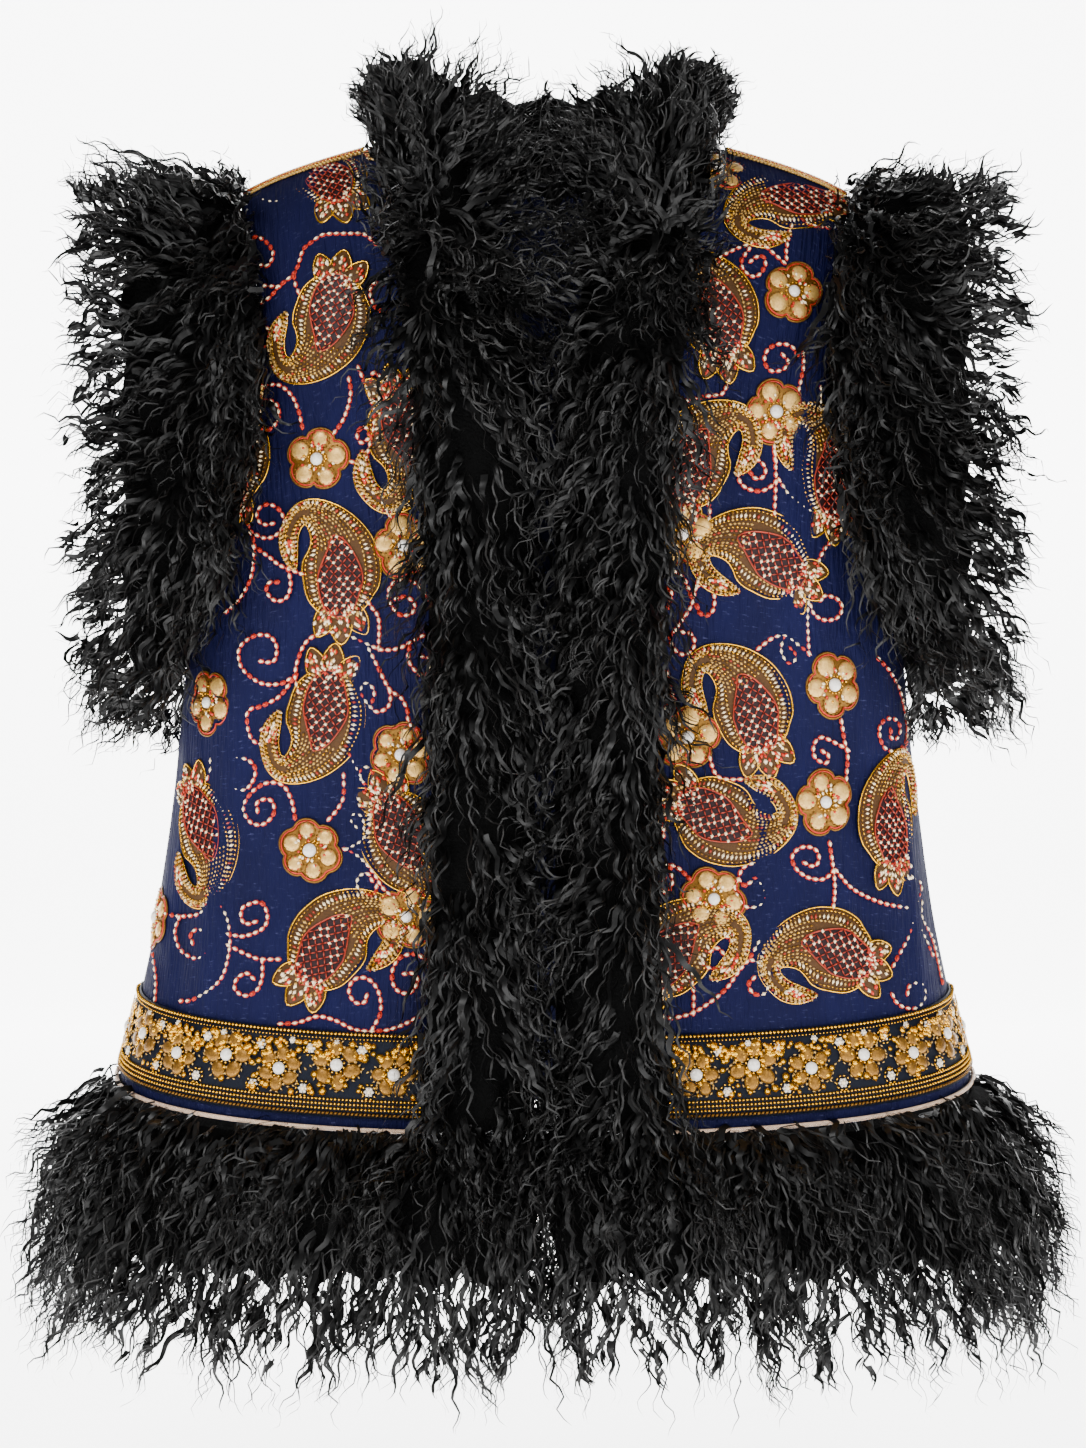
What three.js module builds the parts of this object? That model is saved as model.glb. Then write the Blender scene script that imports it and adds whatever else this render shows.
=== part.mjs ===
// Open-fronted sleeveless gilet of embroidered cloth with long curly fur at the neck,
// the front edges, the armholes and the hem, filled out as when it is worn.
// Millimetres, +Z up, the front faces -Y, +X is on the right in a view from the front.
// The origin lies midway between the shoulder seams, at the height of the neck,
// where the wearer's shoulders hold the gilet.
import * as THREE from 'three';

// Cloth and seams
const CLOTH_THICKNESS = 2.4;
const SEAM_HALF_GAP = 0.2;
const CLEARANCE = 0.4;
const APPLIQUE_HEIGHT = 2.2;
const PUCKER_HEIGHT = 0.5;
const PUCKER_SPACING = 19;

// Shoulder line and neck
const NECK_POINT_X = 98;
const SHOULDER_POINT_X = 195;
const SHOULDER_NECK_Z = -2;
const SHOULDER_SLOPE = 0.36;
const CHEST_Z = -170;
const BACK_NECK_Z = -14;
const BACK_COLUMNS = 26;
const NECK_COLUMN_SHARE = 16 / BACK_COLUMNS;

// Hem of the cloth, before the fur begins
const HEM_SIDE_Z = -605;
const HEM_CENTRE_DROP = 30;
const YOKE_SHARE = 0.31;
const SECTION_POWER = 2.4;

// Embroidered border above the hem
const BORDER_BOTTOM = 9;
const BORDER_TOP = 62;
const BORDER_THICKNESS = 1.2;
const BORDER_CLEARANCE = 0.7;
const BORDER_FLOWER_PITCH = 36;
const BORDER_FLOWER_RADIUS = 16;
const PIPING_RADIUS = 1.4;

// Fur
const BAND_RISE = 26;
const BAND_DIP = 7;
const BAND_OVERHANG = 9;
const BAND_MEET_Z = -185;
const BAND_NECK_INNER_X = 44;
const NECK_RISE = 60;
const NECK_OVERHANG = 20;
const BACK_NECK_RISE = 54;
const LOCK_SWELL = 0.16;
const ARMHOLE_CLEARANCE = 1.6;
const RING_POWER = 2.2;
const SLEEVE_END_X = 298;
const SLEEVE_END_SLANT = 26;
const SLEEVE_LOCK = 9;
const SLEEVE_OVERHANG = 6;
const COLLAR_STATIONS = 16;
const COLLAR_LOCK = 7;
const COLLAR_BACK_WIDTH = 24;
const COLLAR_BACK_DROP = 22;
const HEM_LOCK_LENGTH = 38;
const HEM_PARTING = 9;
const BAND_THICKNESS_AT_HEM = 20;

// Hanger loop inside the back neck
const LOOP_WIDTH = 22;
const LOOP_DROP = 13;
const LOOP_TOP_Z = -12;
const LOOP_RADIUS = 1.2;
const LOOP_SEAT = 1.4;

// Horizontal sections of the body: half width, depth of the front and of the back
const BODY_SECTIONS = [
  { z: -800, halfWidth: 282, front: 134, back: 128 },
  { z: -700, halfWidth: 282, front: 136, back: 130 },
  { z: -615, halfWidth: 277, front: 134, back: 128 },
  { z: -560, halfWidth: 263, front: 127, back: 120 },
  { z: -500, halfWidth: 251, front: 119, back: 111 },
  { z: -420, halfWidth: 240, front: 111, back: 102 },
  { z: -335, halfWidth: 232, front: 108, back: 97 },
  { z: -250, halfWidth: 226, front: 108, back: 100 },
  { z: -170, halfWidth: 220, front: 104, back: 102 },
  { z: -100, halfWidth: 217, front: 102, back: 100 },
  { z: 40, halfWidth: 212, front: 100, back: 98 },
];

// Front edge of the cloth, where the fur band is sewn on
const FRONT_EDGE = [
  { z: -700, x: 76 },
  { z: -638, x: 72 },
  { z: -476, x: 66 },
  { z: -303, x: 68 },
  { z: -197, x: 75 },
  { z: -112, x: 87 },
  { z: -40, x: 96 },
  { z: 10, x: NECK_POINT_X },
];

// Armhole edge, by its share of the half width
const ARMHOLE_EDGE = [
  { z: -700, share: 1 },
  { z: -336, share: 1 },
  { z: -328, share: 0.985 },
  { z: -312, share: 0.947 },
  { z: -285, share: 0.9 },
  { z: -250, share: 0.862 },
  { z: -200, share: 0.83 },
  { z: -140, share: 0.822 },
  { z: -90, share: 0.855 },
  { z: -37, share: 0.916 },
  { z: 40, share: 0.92 },
];

// Motifs of thick applique on the fronts: centre as seen from the front, tilt of the
// crowned end from upright in degrees, and the side to which the tail is hooked
const FLOWER_RADIUS = 20;
const PAISLEY_SIZE = 38;
const LEFT_MOTIFS = [
  { kind: 'paisley', x: -134, z: -42, tilt: 190, hook: -1 },
  { kind: 'paisley', x: -136, z: -125, tilt: -12, hook: -1 },
  { kind: 'flower', x: -143, z: -213, tilt: 0, hook: 0 },
  { kind: 'paisley', x: -86, z: -200, tilt: 15, hook: -1 },
  { kind: 'paisley', x: -196, z: -209, tilt: 175, hook: 1 },
  { kind: 'paisley', x: -129, z: -282, tilt: 182, hook: 1 },
  { kind: 'flower', x: -88, z: -268, tilt: 0, hook: 0 },
  { kind: 'flower', x: -214, z: -366, tilt: 0, hook: 0 },
  { kind: 'paisley', x: -139, z: -376, tilt: -10, hook: -1 },
  { kind: 'flower', x: -90, z: -399, tilt: 0, hook: 0 },
  { kind: 'paisley', x: -216, z: -447, tilt: 30, hook: -1 },
  { kind: 'flower', x: -147, z: -459, tilt: 0, hook: 0 },
  { kind: 'paisley', x: -88, z: -452, tilt: 25, hook: 1 },
  { kind: 'flower', x: -86, z: -500, tilt: 0, hook: 0 },
  { kind: 'paisley', x: -134, z: -516, tilt: 145, hook: -1 },
  { kind: 'flower', x: -249, z: -504, tilt: 0, hook: 0 },
];
const RIGHT_MOTIFS = [
  { kind: 'flower', x: 110, z: -25, tilt: 0, hook: 0 },
  { kind: 'paisley', x: 157, z: -44, tilt: -90, hook: 1 },
  { kind: 'flower', x: 157, z: -106, tilt: 0, hook: 0 },
  { kind: 'paisley', x: 108, z: -119, tilt: 190, hook: 1 },
  { kind: 'flower', x: 145, z: -183, tilt: 0, hook: 0 },
  { kind: 'paisley', x: 92, z: -214, tilt: 160, hook: -1 },
  { kind: 'paisley', x: 181, z: -219, tilt: 182, hook: 1 },
  { kind: 'flower', x: 86, z: -261, tilt: 0, hook: 0 },
  { kind: 'paisley', x: 138, z: -273, tilt: 235, hook: 1 },
  { kind: 'flower', x: 182, z: -355, tilt: 0, hook: 0 },
  { kind: 'paisley', x: 129, z: -368, tilt: 197, hook: 1 },
  { kind: 'flower', x: 89, z: -388, tilt: 0, hook: 0 },
  { kind: 'flower', x: 176, z: -429, tilt: 0, hook: 0 },
  { kind: 'paisley', x: 110, z: -440, tilt: 60, hook: 1 },
  { kind: 'paisley', x: 219, z: -441, tilt: 185, hook: -1 },
  { kind: 'flower', x: 105, z: -489, tilt: 0, hook: 0 },
  { kind: 'paisley', x: 80, z: -520, tilt: 140, hook: -1 },
  { kind: 'paisley', x: 179, z: -522, tilt: 250, hook: 1 },
];

// Motifs of the back, in staggered rows
const BACK_ROWS = { top: -92, pitch: 82, count: 6, spacing: 84 };
const BACK_MOTIFS = Array.from({ length: BACK_ROWS.count }, (_, row) => {
  const columns = row % 2 ? [-2, -1, 0, 1, 2] : [-1.5, -0.5, 0.5, 1.5];
  return columns.map((column) => ({
    kind: (row + Math.round(column + 9)) % 2 ? 'flower' : 'paisley',
    x: column * BACK_ROWS.spacing,
    z: BACK_ROWS.top - row * BACK_ROWS.pitch,
    tilt: column * 24 + (row % 3 === 1 ? 180 : 0),
    hook: column < 0 ? -1 : 1,
  }));
}).flat();

const clamp = (value, low, high) => Math.min(Math.max(value, low), high);
const mix = (a, b, share) => a + (b - a) * share;

/** Eases from 0 to 1 as the value goes from low to high. */
function ease(low, high, value) {
  const share = clamp((value - low) / (high - low), 0, 1);
  return share * share * (3 - 2 * share);
}

/** Reads one column of a table at a height, on a smooth curve through its rows. */
function read(table, column, z) {
  const last = table.length - 1;
  if (z <= table[0].z) return table[0][column];
  if (z >= table[last].z) return table[last][column];
  const i = table.findIndex((row) => row.z > z) - 1;
  const slope = (k) => {
    const before = table[Math.max(k - 1, 0)];
    const after = table[Math.min(k + 1, last)];
    return (after[column] - before[column]) / (after.z - before.z);
  };
  const span = table[i + 1].z - table[i].z;
  const u = (z - table[i].z) / span;
  const rise = u * u * (3 - 2 * u);
  return (
    mix(table[i][column], table[i + 1][column], rise) +
    span * u * (1 - u) * ((1 - u) * slope(i) - u * slope(i + 1))
  );
}

/** Height of the shoulder line at a distance from the middle. */
const shoulderZ = (x) => SHOULDER_NECK_Z - SHOULDER_SLOPE * (Math.abs(x) - NECK_POINT_X);

/** Height of the cloth's hem at an angle round the body. */
const hemZ = (angle) => HEM_SIDE_Z - HEM_CENTRE_DROP * Math.max(Math.cos(angle), 0) ** 0.9;

/** The angle round a section at which it is a share of its half width out. */
const angleOf = (share) => Math.asin(clamp(share, 0, 1) ** (SECTION_POWER / 2));

/** A point of the body's surface. The round factor draws it in over the shoulder. */
function bodyPoint(angle, z, facing, round = 1) {
  const halfWidth = read(BODY_SECTIONS, 'halfWidth', z);
  const depth = read(BODY_SECTIONS, facing < 0 ? 'front' : 'back', z);
  const across = Math.sin(Math.abs(angle)) ** (2 / SECTION_POWER);
  const deep = Math.max(Math.cos(angle), 0) ** (2 / SECTION_POWER);
  return new THREE.Vector3(
    Math.sign(angle) * halfWidth * across,
    facing * Math.max(depth * deep * round, SEAM_HALF_GAP),
    z,
  );
}

/** Half width's share at the front edge of the cloth. */
const frontShare = (z) => read(FRONT_EDGE, 'x', z) / read(BODY_SECTIONS, 'halfWidth', z);

/** Height and roundness down a column whose top is on or below the shoulder line. */
function downColumn(crownZ, topZ, bottomZ, v) {
  if (v > YOKE_SHARE) {
    return { z: mix(CHEST_Z, bottomZ, (v - YOKE_SHARE) / (1 - YOKE_SHARE)), round: 1 };
  }
  const top = Math.asin(clamp((topZ - CHEST_Z) / (crownZ - CHEST_Z), 0, 1));
  const turn = top * (1 - v / YOKE_SHARE);
  return { z: CHEST_Z + (crownZ - CHEST_Z) * Math.sin(turn), round: Math.cos(turn) };
}

/** Front panel: s runs from the front edge to the side, v from the shoulder to the hem. */
function frontSurface(side) {
  return (s, v) => {
    const crown = shoulderZ(mix(NECK_POINT_X, SHOULDER_POINT_X, s));
    const hemAngle = mix(angleOf(frontShare(HEM_SIDE_Z)), Math.PI / 2, s);
    const { z, round } = downColumn(crown, crown, hemZ(hemAngle), v);
    const inner = angleOf(frontShare(z));
    const outer = angleOf(read(ARMHOLE_EDGE, 'share', z));
    return bodyPoint(side * mix(inner, outer, s), z, -1, round);
  };
}

/** Height of the back's neckline and shoulder at a distance from the middle. */
function backTopZ(x) {
  const share = Math.min(Math.abs(x) / NECK_POINT_X, 1);
  return share < 1 ? mix(BACK_NECK_Z, SHOULDER_NECK_Z, share * share) : shoulderZ(x);
}

/** Distance from the middle of the back's top edge, closer set where the neck turns up. */
function backTopX(c) {
  const share = Math.abs(c) / NECK_COLUMN_SHARE;
  const x =
    share < 1
      ? NECK_POINT_X * Math.sin((share * Math.PI) / 2)
      : mix(NECK_POINT_X, SHOULDER_POINT_X, (share - 1) / (1 / NECK_COLUMN_SHARE - 1));
  return Math.sign(c) * x;
}

/** Back panel: c runs from -1 at the left side to 1 at the right, v from top to hem. */
function backSurface(c, v) {
  const x = backTopX(c);
  const s = x / SHOULDER_POINT_X;
  const { z, round } = downColumn(shoulderZ(x), backTopZ(x), hemZ((s * Math.PI) / 2), v);
  const share = read(ARMHOLE_EDGE, 'share', z);
  const even = Math.abs(s) * angleOf(share);
  const angle = mix(even, angleOf(Math.abs(s) * share), ease(2 * CHEST_Z, CHEST_Z, z));
  return bodyPoint(Math.sign(s) * angle, z, 1, round);
}

/** Outward direction of a surface at a place. */
function outward(surface, s, v) {
  const step = 1e-3;
  const along = surface(Math.min(s + step, 1), v).sub(surface(Math.max(s - step, -1), v));
  const down = surface(s, Math.min(v + step, 1)).sub(surface(s, Math.max(v - step, 0)));
  const normal = along.cross(down).normalize();
  const point = surface(s, v);
  const out = new THREE.Vector3(point.x * 0.3, point.y, v < 0.05 ? 40 : 0);
  return normal.dot(out) < 0 ? normal.negate() : normal;
}

/** A grid of points, moved off a surface by a distance that may vary. */
function gridOf(surface, region, columns, rows, lift) {
  const grid = [];
  for (let j = 0; j <= rows; j += 1) {
    const line = [];
    for (let i = 0; i <= columns; i += 1) {
      const s = mix(region.s0, region.s1, i / columns);
      const v = mix(region.v0(s), region.v1(s), j / rows);
      const point = surface(s, v);
      point.addScaledVector(outward(surface, s, v), lift(s, v, point));
      point.y = region.facing * Math.max(region.facing * point.y, SEAM_HALF_GAP);
      line.push(point);
    }
    grid.push(line);
  }
  return grid;
}

/** Gathers points and triangles of one closed solid. */
class Solid {
  constructor() {
    this.points = [];
    this.triangles = [];
  }

  add(point) {
    return this.points.push(point) - 1;
  }

  sheet(grid, closed = false) {
    const ids = grid.map((line) => line.map((point) => this.add(point)));
    for (let j = 0; j + 1 < ids.length; j += 1) {
      const count = ids[j].length;
      for (let i = 0; i < (closed ? count : count - 1); i += 1) {
        const k = (i + 1) % count;
        this.triangles.push([ids[j][i], ids[j][k], ids[j + 1][k]]);
        this.triangles.push([ids[j][i], ids[j + 1][k], ids[j + 1][i]]);
      }
    }
    return ids;
  }

  /** Joins rings into a tube that closes on itself both ways round. */
  ring(grid) {
    const ids = this.sheet(grid, true);
    const [first, last] = [ids[0], ids[ids.length - 1]];
    first.forEach((id, i) => {
      const k = (i + 1) % first.length;
      this.triangles.push([last[i], last[k], first[k]], [last[i], first[k], id]);
    });
  }

  fan(ring) {
    const centre = new THREE.Vector3();
    ring.forEach((id) => centre.addScaledVector(this.points[id], 1 / ring.length));
    const hub = this.add(centre);
    ring.forEach((id, i) => this.triangles.push([hub, id, ring[(i + 1) % ring.length]]));
  }

  /** Joins two lines of points that run side by side, with any number of points each. */
  stitch(a, b) {
    let i = 0;
    let j = 0;
    while (i < a.length - 1 || j < b.length - 1) {
      const nextA = i < a.length - 1 ? (i + 1) / (a.length - 1) : Infinity;
      const nextB = j < b.length - 1 ? (j + 1) / (b.length - 1) : Infinity;
      if (nextA <= nextB) {
        this.triangles.push([a[i], a[i + 1], b[j]]);
        i += 1;
      } else {
        this.triangles.push([a[i], b[j + 1], b[j]]);
        j += 1;
      }
    }
  }

  geometry() {
    const positions = this.points.flatMap((point) => [point.x, point.y, point.z]);
    let volume = 0;
    for (const [a, b, c] of this.triangles) {
      const [p, q, r] = [this.points[a], this.points[b], this.points[c]];
      volume += p.dot(new THREE.Vector3().crossVectors(q, r));
    }
    const faces = volume < 0 ? this.triangles.map(([a, b, c]) => [a, c, b]) : this.triangles;
    const geometry = new THREE.BufferGeometry();
    geometry.setAttribute('position', new THREE.Float32BufferAttribute(positions, 3));
    geometry.setIndex(faces.flat());
    geometry.computeVertexNormals();
    return geometry;
  }
}

/** A closed wall between an outer grid and a coarser inner one. */
function wall(outer, inner) {
  const solid = new Solid();
  const front = solid.sheet(outer);
  const back = solid.sheet(inner.map((line) => [...line].reverse()));
  const rim = (ids) => ({
    top: ids[0],
    bottom: ids[ids.length - 1],
    left: ids.map((line) => line[0]),
    right: ids.map((line) => line[line.length - 1]),
  });
  const a = rim(front);
  const b = rim(back);
  solid.stitch([...b.top].reverse(), a.top);
  solid.stitch(a.bottom, [...b.bottom].reverse());
  solid.stitch(a.left, b.right);
  solid.stitch(b.left, a.right);
  return solid.geometry();
}

const paint = (colour, roughness, metalness = 0) =>
  new THREE.MeshStandardMaterial({ color: colour, roughness, metalness, side: THREE.DoubleSide });
const CREPE = () => paint('#1d2356', 0.85);
const FUR = () => paint('#141414', 0.7);
const GOLD_WORK = () => paint('#b98a2c', 0.4, 0.4);
const PIPING = () => paint('#e3c6a4', 0.6);

const gilet = new THREE.Group();

function addPiece(name, geometry, material) {
  const mesh = new THREE.Mesh(geometry, material);
  mesh.name = name;
  gilet.add(mesh);
}

/** Distance round the section from its middle to an angle. */
function arcTo(angle, z, facing) {
  const steps = 14;
  let length = 0;
  let previous = bodyPoint(0, z, facing);
  for (let i = 1; i <= steps; i += 1) {
    const next = bodyPoint((angle * i) / steps, z, facing);
    length += next.distanceTo(previous);
    previous = next;
  }
  return length * Math.sign(angle);
}

/** How far a place lies inside a motif, from 0 outside to 1 well inside. */
function motifCover(motif, across, up) {
  const turn = THREE.MathUtils.degToRad(motif.tilt);
  const u = across * Math.cos(turn) + up * Math.sin(turn);
  const w = -across * Math.sin(turn) + up * Math.cos(turn);
  const blob = (cx, cy, radius) => ease(radius + 3.5, radius - 3.5, Math.hypot(u - cx, w - cy));
  if (motif.kind === 'flower') return blob(0, 0, FLOWER_RADIUS);
  return Math.max(
    blob(0, 4, PAISLEY_SIZE * 0.68),
    blob(0, -PAISLEY_SIZE * 0.42, PAISLEY_SIZE * 0.5),
    blob(motif.hook * PAISLEY_SIZE * 0.42, -PAISLEY_SIZE * 0.78, PAISLEY_SIZE * 0.3),
    blob(0, PAISLEY_SIZE * 0.95, PAISLEY_SIZE * 0.26),
  );
}

/** Height of applique and puckers on a panel's outer face. */
function relief(motifs, facing, edgeFade) {
  const placed = motifs.map((motif) => {
    const share = Math.abs(motif.x) / read(BODY_SECTIONS, 'halfWidth', motif.z);
    const angle = Math.sign(motif.x) * angleOf(share);
    return { ...motif, arc: arcTo(angle, motif.z, facing) };
  });
  return (s, v, point) => {
    const share = Math.abs(point.x) / read(BODY_SECTIONS, 'halfWidth', point.z);
    const arc = Math.sign(point.x) * Math.abs(arcTo(angleOf(share), point.z, facing));
    const cover = placed.reduce(
      (most, motif) => Math.max(most, motifCover(motif, arc - motif.arc, point.z - motif.z)),
      0,
    );
    const pucker = 0.5 + 0.5 * Math.sin((2 * Math.PI * arc) / PUCKER_SPACING + point.z / 60);
    const height = Math.max(cover * APPLIQUE_HEIGHT, pucker * PUCKER_HEIGHT);
    return height * edgeFade(s, v);
  };
}

/** The share of a panel's length at a height above its hem. */
const aboveHem = (height, hem) => 1 - (height * (1 - YOKE_SHARE)) / (CHEST_Z - hem);

/** Cloth panel: a thin wall with its applique raised in the outer points. */
function clothPanel(surface, facing, s0, s1, motifs, outer, inner) {
  const region = { s0, s1, facing, v0: () => 0, v1: () => 1 };
  const fade = (s, v) => {
    const sides = facing < 0 ? ease(0, 0.08, s) * ease(1, 0.94, s) : ease(1, 0.97, Math.abs(s));
    return sides * ease(0.055, 0.1, v) * ease(0.885, 0.865, v);
  };
  return wall(
    gridOf(surface, region, outer.columns, outer.rows, relief(motifs, facing, fade)),
    gridOf(surface, region, inner.columns, inner.rows, () => -CLOTH_THICKNESS),
  );
}

/** Border: laid on a panel just above its hem, its flowers raised in the outer points. */
function borderPiece(surface, facing, s0, s1, columns) {
  const region = {
    s0,
    s1,
    facing,
    v0: () => aboveHem(BORDER_TOP, HEM_SIDE_Z - HEM_CENTRE_DROP),
    v1: () => aboveHem(BORDER_BOTTOM, HEM_SIDE_Z - HEM_CENTRE_DROP),
  };
  const middle = (BORDER_TOP + BORDER_BOTTOM) / 2;
  const height = (s, v, point) => {
    const share = Math.abs(point.x) / read(BODY_SECTIONS, 'halfWidth', point.z);
    const arc = arcTo(angleOf(share), point.z, facing);
    const across = arc - (Math.floor(arc / BORDER_FLOWER_PITCH) + 0.5) * BORDER_FLOWER_PITCH;
    const up = mix(BORDER_TOP, BORDER_BOTTOM, (v - region.v0()) / (region.v1() - region.v0())) - middle;
    const flower = ease(BORDER_FLOWER_RADIUS + 3, BORDER_FLOWER_RADIUS - 4, Math.hypot(across, up));
    const ends = facing < 0 ? ease(0, 0.06, s) * ease(1, 0.97, s) : ease(1, 0.98, Math.abs(s));
    return BORDER_CLEARANCE + BORDER_THICKNESS + flower * ends * APPLIQUE_HEIGHT;
  };
  return wall(
    gridOf(surface, region, 2 * columns, 6, height),
    gridOf(surface, region, columns, 2, () => BORDER_CLEARANCE),
  );
}

/** A round cord of six sides along a line of points. */
function cord(line, radius) {
  const solid = new Solid();
  const up = new THREE.Vector3(0, 0, 1);
  const rings = line.map((point, i) => {
    const ahead = line[Math.min(i + 1, line.length - 1)];
    const behind = line[Math.max(i - 1, 0)];
    const along = new THREE.Vector3().subVectors(ahead, behind).normalize();
    const side = new THREE.Vector3().crossVectors(along, up).normalize();
    const rise = new THREE.Vector3().crossVectors(side, along);
    return Array.from({ length: 6 }, (_, k) => {
      const turn = (k * Math.PI) / 3;
      return point
        .clone()
        .addScaledVector(side, radius * Math.cos(turn))
        .addScaledVector(rise, radius * Math.sin(turn));
    });
  });
  const ids = solid.sheet(rings, true);
  solid.fan([...ids[0]].reverse());
  solid.fan(ids[ids.length - 1]);
  return solid.geometry();
}

/** Piping along the lower edge of a panel, on its outer face. */
function piping(surface, facing, s0, s1, steps) {
  const lift = CLEARANCE + PIPING_RADIUS;
  const line = Array.from({ length: steps + 1 }, (_, i) => {
    const s = mix(s0, s1, i / steps);
    const point = surface(s, 1).addScaledVector(outward(surface, s, 0.995), lift);
    point.z += PIPING_RADIUS;
    point.y = facing * Math.max(facing * point.y, PIPING_RADIUS + 2 * SEAM_HALF_GAP);
    return point;
  });
  return cord(line, PIPING_RADIUS);
}

/** Swelling of the fur where locks lie side by side. */
const lockSwell = (i, k) => 1 + LOCK_SWELL * Math.sin(i * 2.1 + k * 1.9) * Math.sin(i * 0.7 - k);

/** A closed solid through sections of equal count. */
function loft(sections) {
  const solid = new Solid();
  const ids = solid.sheet(sections, true);
  solid.fan([...ids[0]].reverse());
  solid.fan(ids[ids.length - 1]);
  return solid.geometry();
}

// Section of a fur strip: reach across in shares of its overhang or width, and its
// height in shares of the rise, or of the dip where it is below the cloth
const STRIP_SECTION = [
  { over: 0, across: 0, rise: 0, dip: 0.5 },
  { over: 0, across: 0, rise: 0.1, dip: 0 },
  { over: 0.8, across: 0, rise: 0.26, dip: 0 },
  { over: 1.1, across: 0, rise: 0.5, dip: 0 },
  { over: 0.3, across: 0, rise: 0.84, dip: 0 },
  { over: 0, across: 0.25, rise: 1, dip: 0 },
  { over: 0, across: 0.58, rise: 0.96, dip: 0 },
  { over: 0, across: 0.86, rise: 0.72, dip: 0 },
  { over: 0, across: 1, rise: 0.3, dip: 0 },
  { over: 0, across: 0.97, rise: 0, dip: 0.6 },
  { over: 0, across: 0.6, rise: 0, dip: 1 },
  { over: 0, across: 0.25, rise: 0, dip: 1 },
];

/** One section of a fur strip in a frame of the seam, inward across and up off the cloth. */
function stripSection(frame, index) {
  return STRIP_SECTION.map((row, k) => {
    const swell = row.rise > 0.5 ? lockSwell(index, k) : 1;
    const across = CLEARANCE + row.across * (frame.width - CLEARANCE) - row.over * frame.overhang;
    return frame.seam
      .clone()
      .addScaledVector(frame.inward, across)
      .addScaledVector(frame.up, row.rise * frame.rise * swell - row.dip * frame.dip);
  });
}

/** Front fur band, from the shoulder seam to the hem. */
function furBand(side) {
  const stations = 38;
  const surface = frontSurface(side);
  const sections = [];
  for (let j = 0; j <= stations; j += 1) {
    const v = j / stations;
    const seam = surface(0, v);
    const meet = ease(SHOULDER_NECK_Z, BAND_MEET_Z, seam.z);
    const innerX = mix(BAND_NECK_INNER_X, SEAM_HALF_GAP * 2, meet);
    const round = v < YOKE_SHARE ? Math.sin((v / YOKE_SHARE) * (Math.PI / 2)) : 1;
    const depth = read(BODY_SECTIONS, 'front', seam.z) * round;
    const inner = new THREE.Vector3(side * innerX, -Math.max(depth, SEAM_HALF_GAP), seam.z);
    inner.y = mix(seam.y, inner.y, 0.8);
    const inward = inner.clone().sub(seam);
    const width = inward.length();
    inward.normalize();
    const neck = ease(0.16, 0, v);
    const frame = {
      seam,
      inward,
      up: outward(surface, 0, v),
      width,
      rise: mix(BAND_RISE, NECK_RISE, neck),
      dip: BAND_DIP,
      overhang: mix(BAND_OVERHANG, NECK_OVERHANG, neck),
    };
    const section = stripSection(frame, j);
    section.forEach((point) => {
      point.x = side * Math.max(side * point.x, SEAM_HALF_GAP);
      if (j === 0) point.y = Math.min(point.y, -SEAM_HALF_GAP);
    });
    sections.push(section);
  }
  return loft(sections);
}

// Section of the collar: reach outward or inward in millimetres or shares of the inner
// reach, and height in shares of the rise, or of the drop inside the neck
const COLLAR_SECTION = [
  { out: -5, inner: 0, rise: 0, drop: 0.5 },
  { out: -1, inner: 0, rise: 0.06, drop: 0 },
  { out: 13, inner: 0, rise: 0.14, drop: 0 },
  { out: 25, inner: 0, rise: 0.24, drop: 0 },
  { out: 28, inner: 0, rise: 0.45, drop: 0 },
  { out: 20, inner: 0, rise: 0.85, drop: 0 },
  { out: 3, inner: 0, rise: 1, drop: 0 },
  { out: 0, inner: 0.45, rise: 0.92, drop: 0 },
  { out: 0, inner: 0.85, rise: 0.6, drop: 0 },
  { out: 0, inner: 1, rise: 0.2, drop: 0 },
  { out: 0, inner: 0.85, rise: 0, drop: 0.6 },
  { out: 0, inner: 0.45, rise: 0, drop: 1 },
];

/** Fur collar round the back of the neck, between the two shoulder seams. */
function furCollar() {
  const sections = [];
  for (let j = 0; j <= COLLAR_STATIONS; j += 1) {
    const turn = (Math.PI * j) / COLLAR_STATIONS;
    const seam = backSurface(NECK_COLUMN_SHARE * (1 - (2 * j) / COLLAR_STATIONS), 0);
    const back = Math.sin(turn);
    const outwards = new THREE.Vector3(0.66 * Math.cos(turn), back, 0).normalize();
    const neckWidth = NECK_POINT_X - BAND_NECK_INNER_X;
    const innerReach = mix(neckWidth, COLLAR_BACK_WIDTH, ease(0, 0.9, back));
    const rise = mix(NECK_RISE, BACK_NECK_RISE, back);
    const drop = mix(BAND_DIP, COLLAR_BACK_DROP, ease(0, 0.8, back));
    const lock = j % 2 === 0 ? COLLAR_LOCK : -COLLAR_LOCK;
    sections.push(
      COLLAR_SECTION.map((row, k) => {
        const tuft = row.rise > 0.8 && j > 0 && j < COLLAR_STATIONS ? lock : 0;
        const point = seam.clone().addScaledVector(outwards, row.out - row.inner * innerReach);
        point.z += row.rise * rise - row.drop * drop + tuft * (k % 2 ? 1 : 0.4);
        point.y = Math.max(point.y, 2 * SEAM_HALF_GAP);
        return point;
      }),
    );
  }
  return loft(sections);
}

// Fur round the armhole: profile from the armhole's inside over the outside and back,
// along in shares of the way out, wall from 0 at the hole to 1 at the outside
const SLEEVE_PROFILE = [
  { along: 0, wall: 0, tuft: 0 },
  { along: 0, wall: 0.72, tuft: 0 },
  { along: 0, wall: 0.96, tuft: 0 },
  { along: 0.16, wall: 1.04, tuft: 0 },
  { along: 0.45, wall: 1.06, tuft: 0 },
  { along: 0.78, wall: 1.04, tuft: 0 },
  { along: 1, wall: 0.8, tuft: 1 },
  { along: 0.93, wall: 0.3, tuft: 0 },
  { along: 0.66, wall: 0, tuft: 0 },
  { along: 0.3, wall: 0, tuft: 0 },
];

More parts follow.
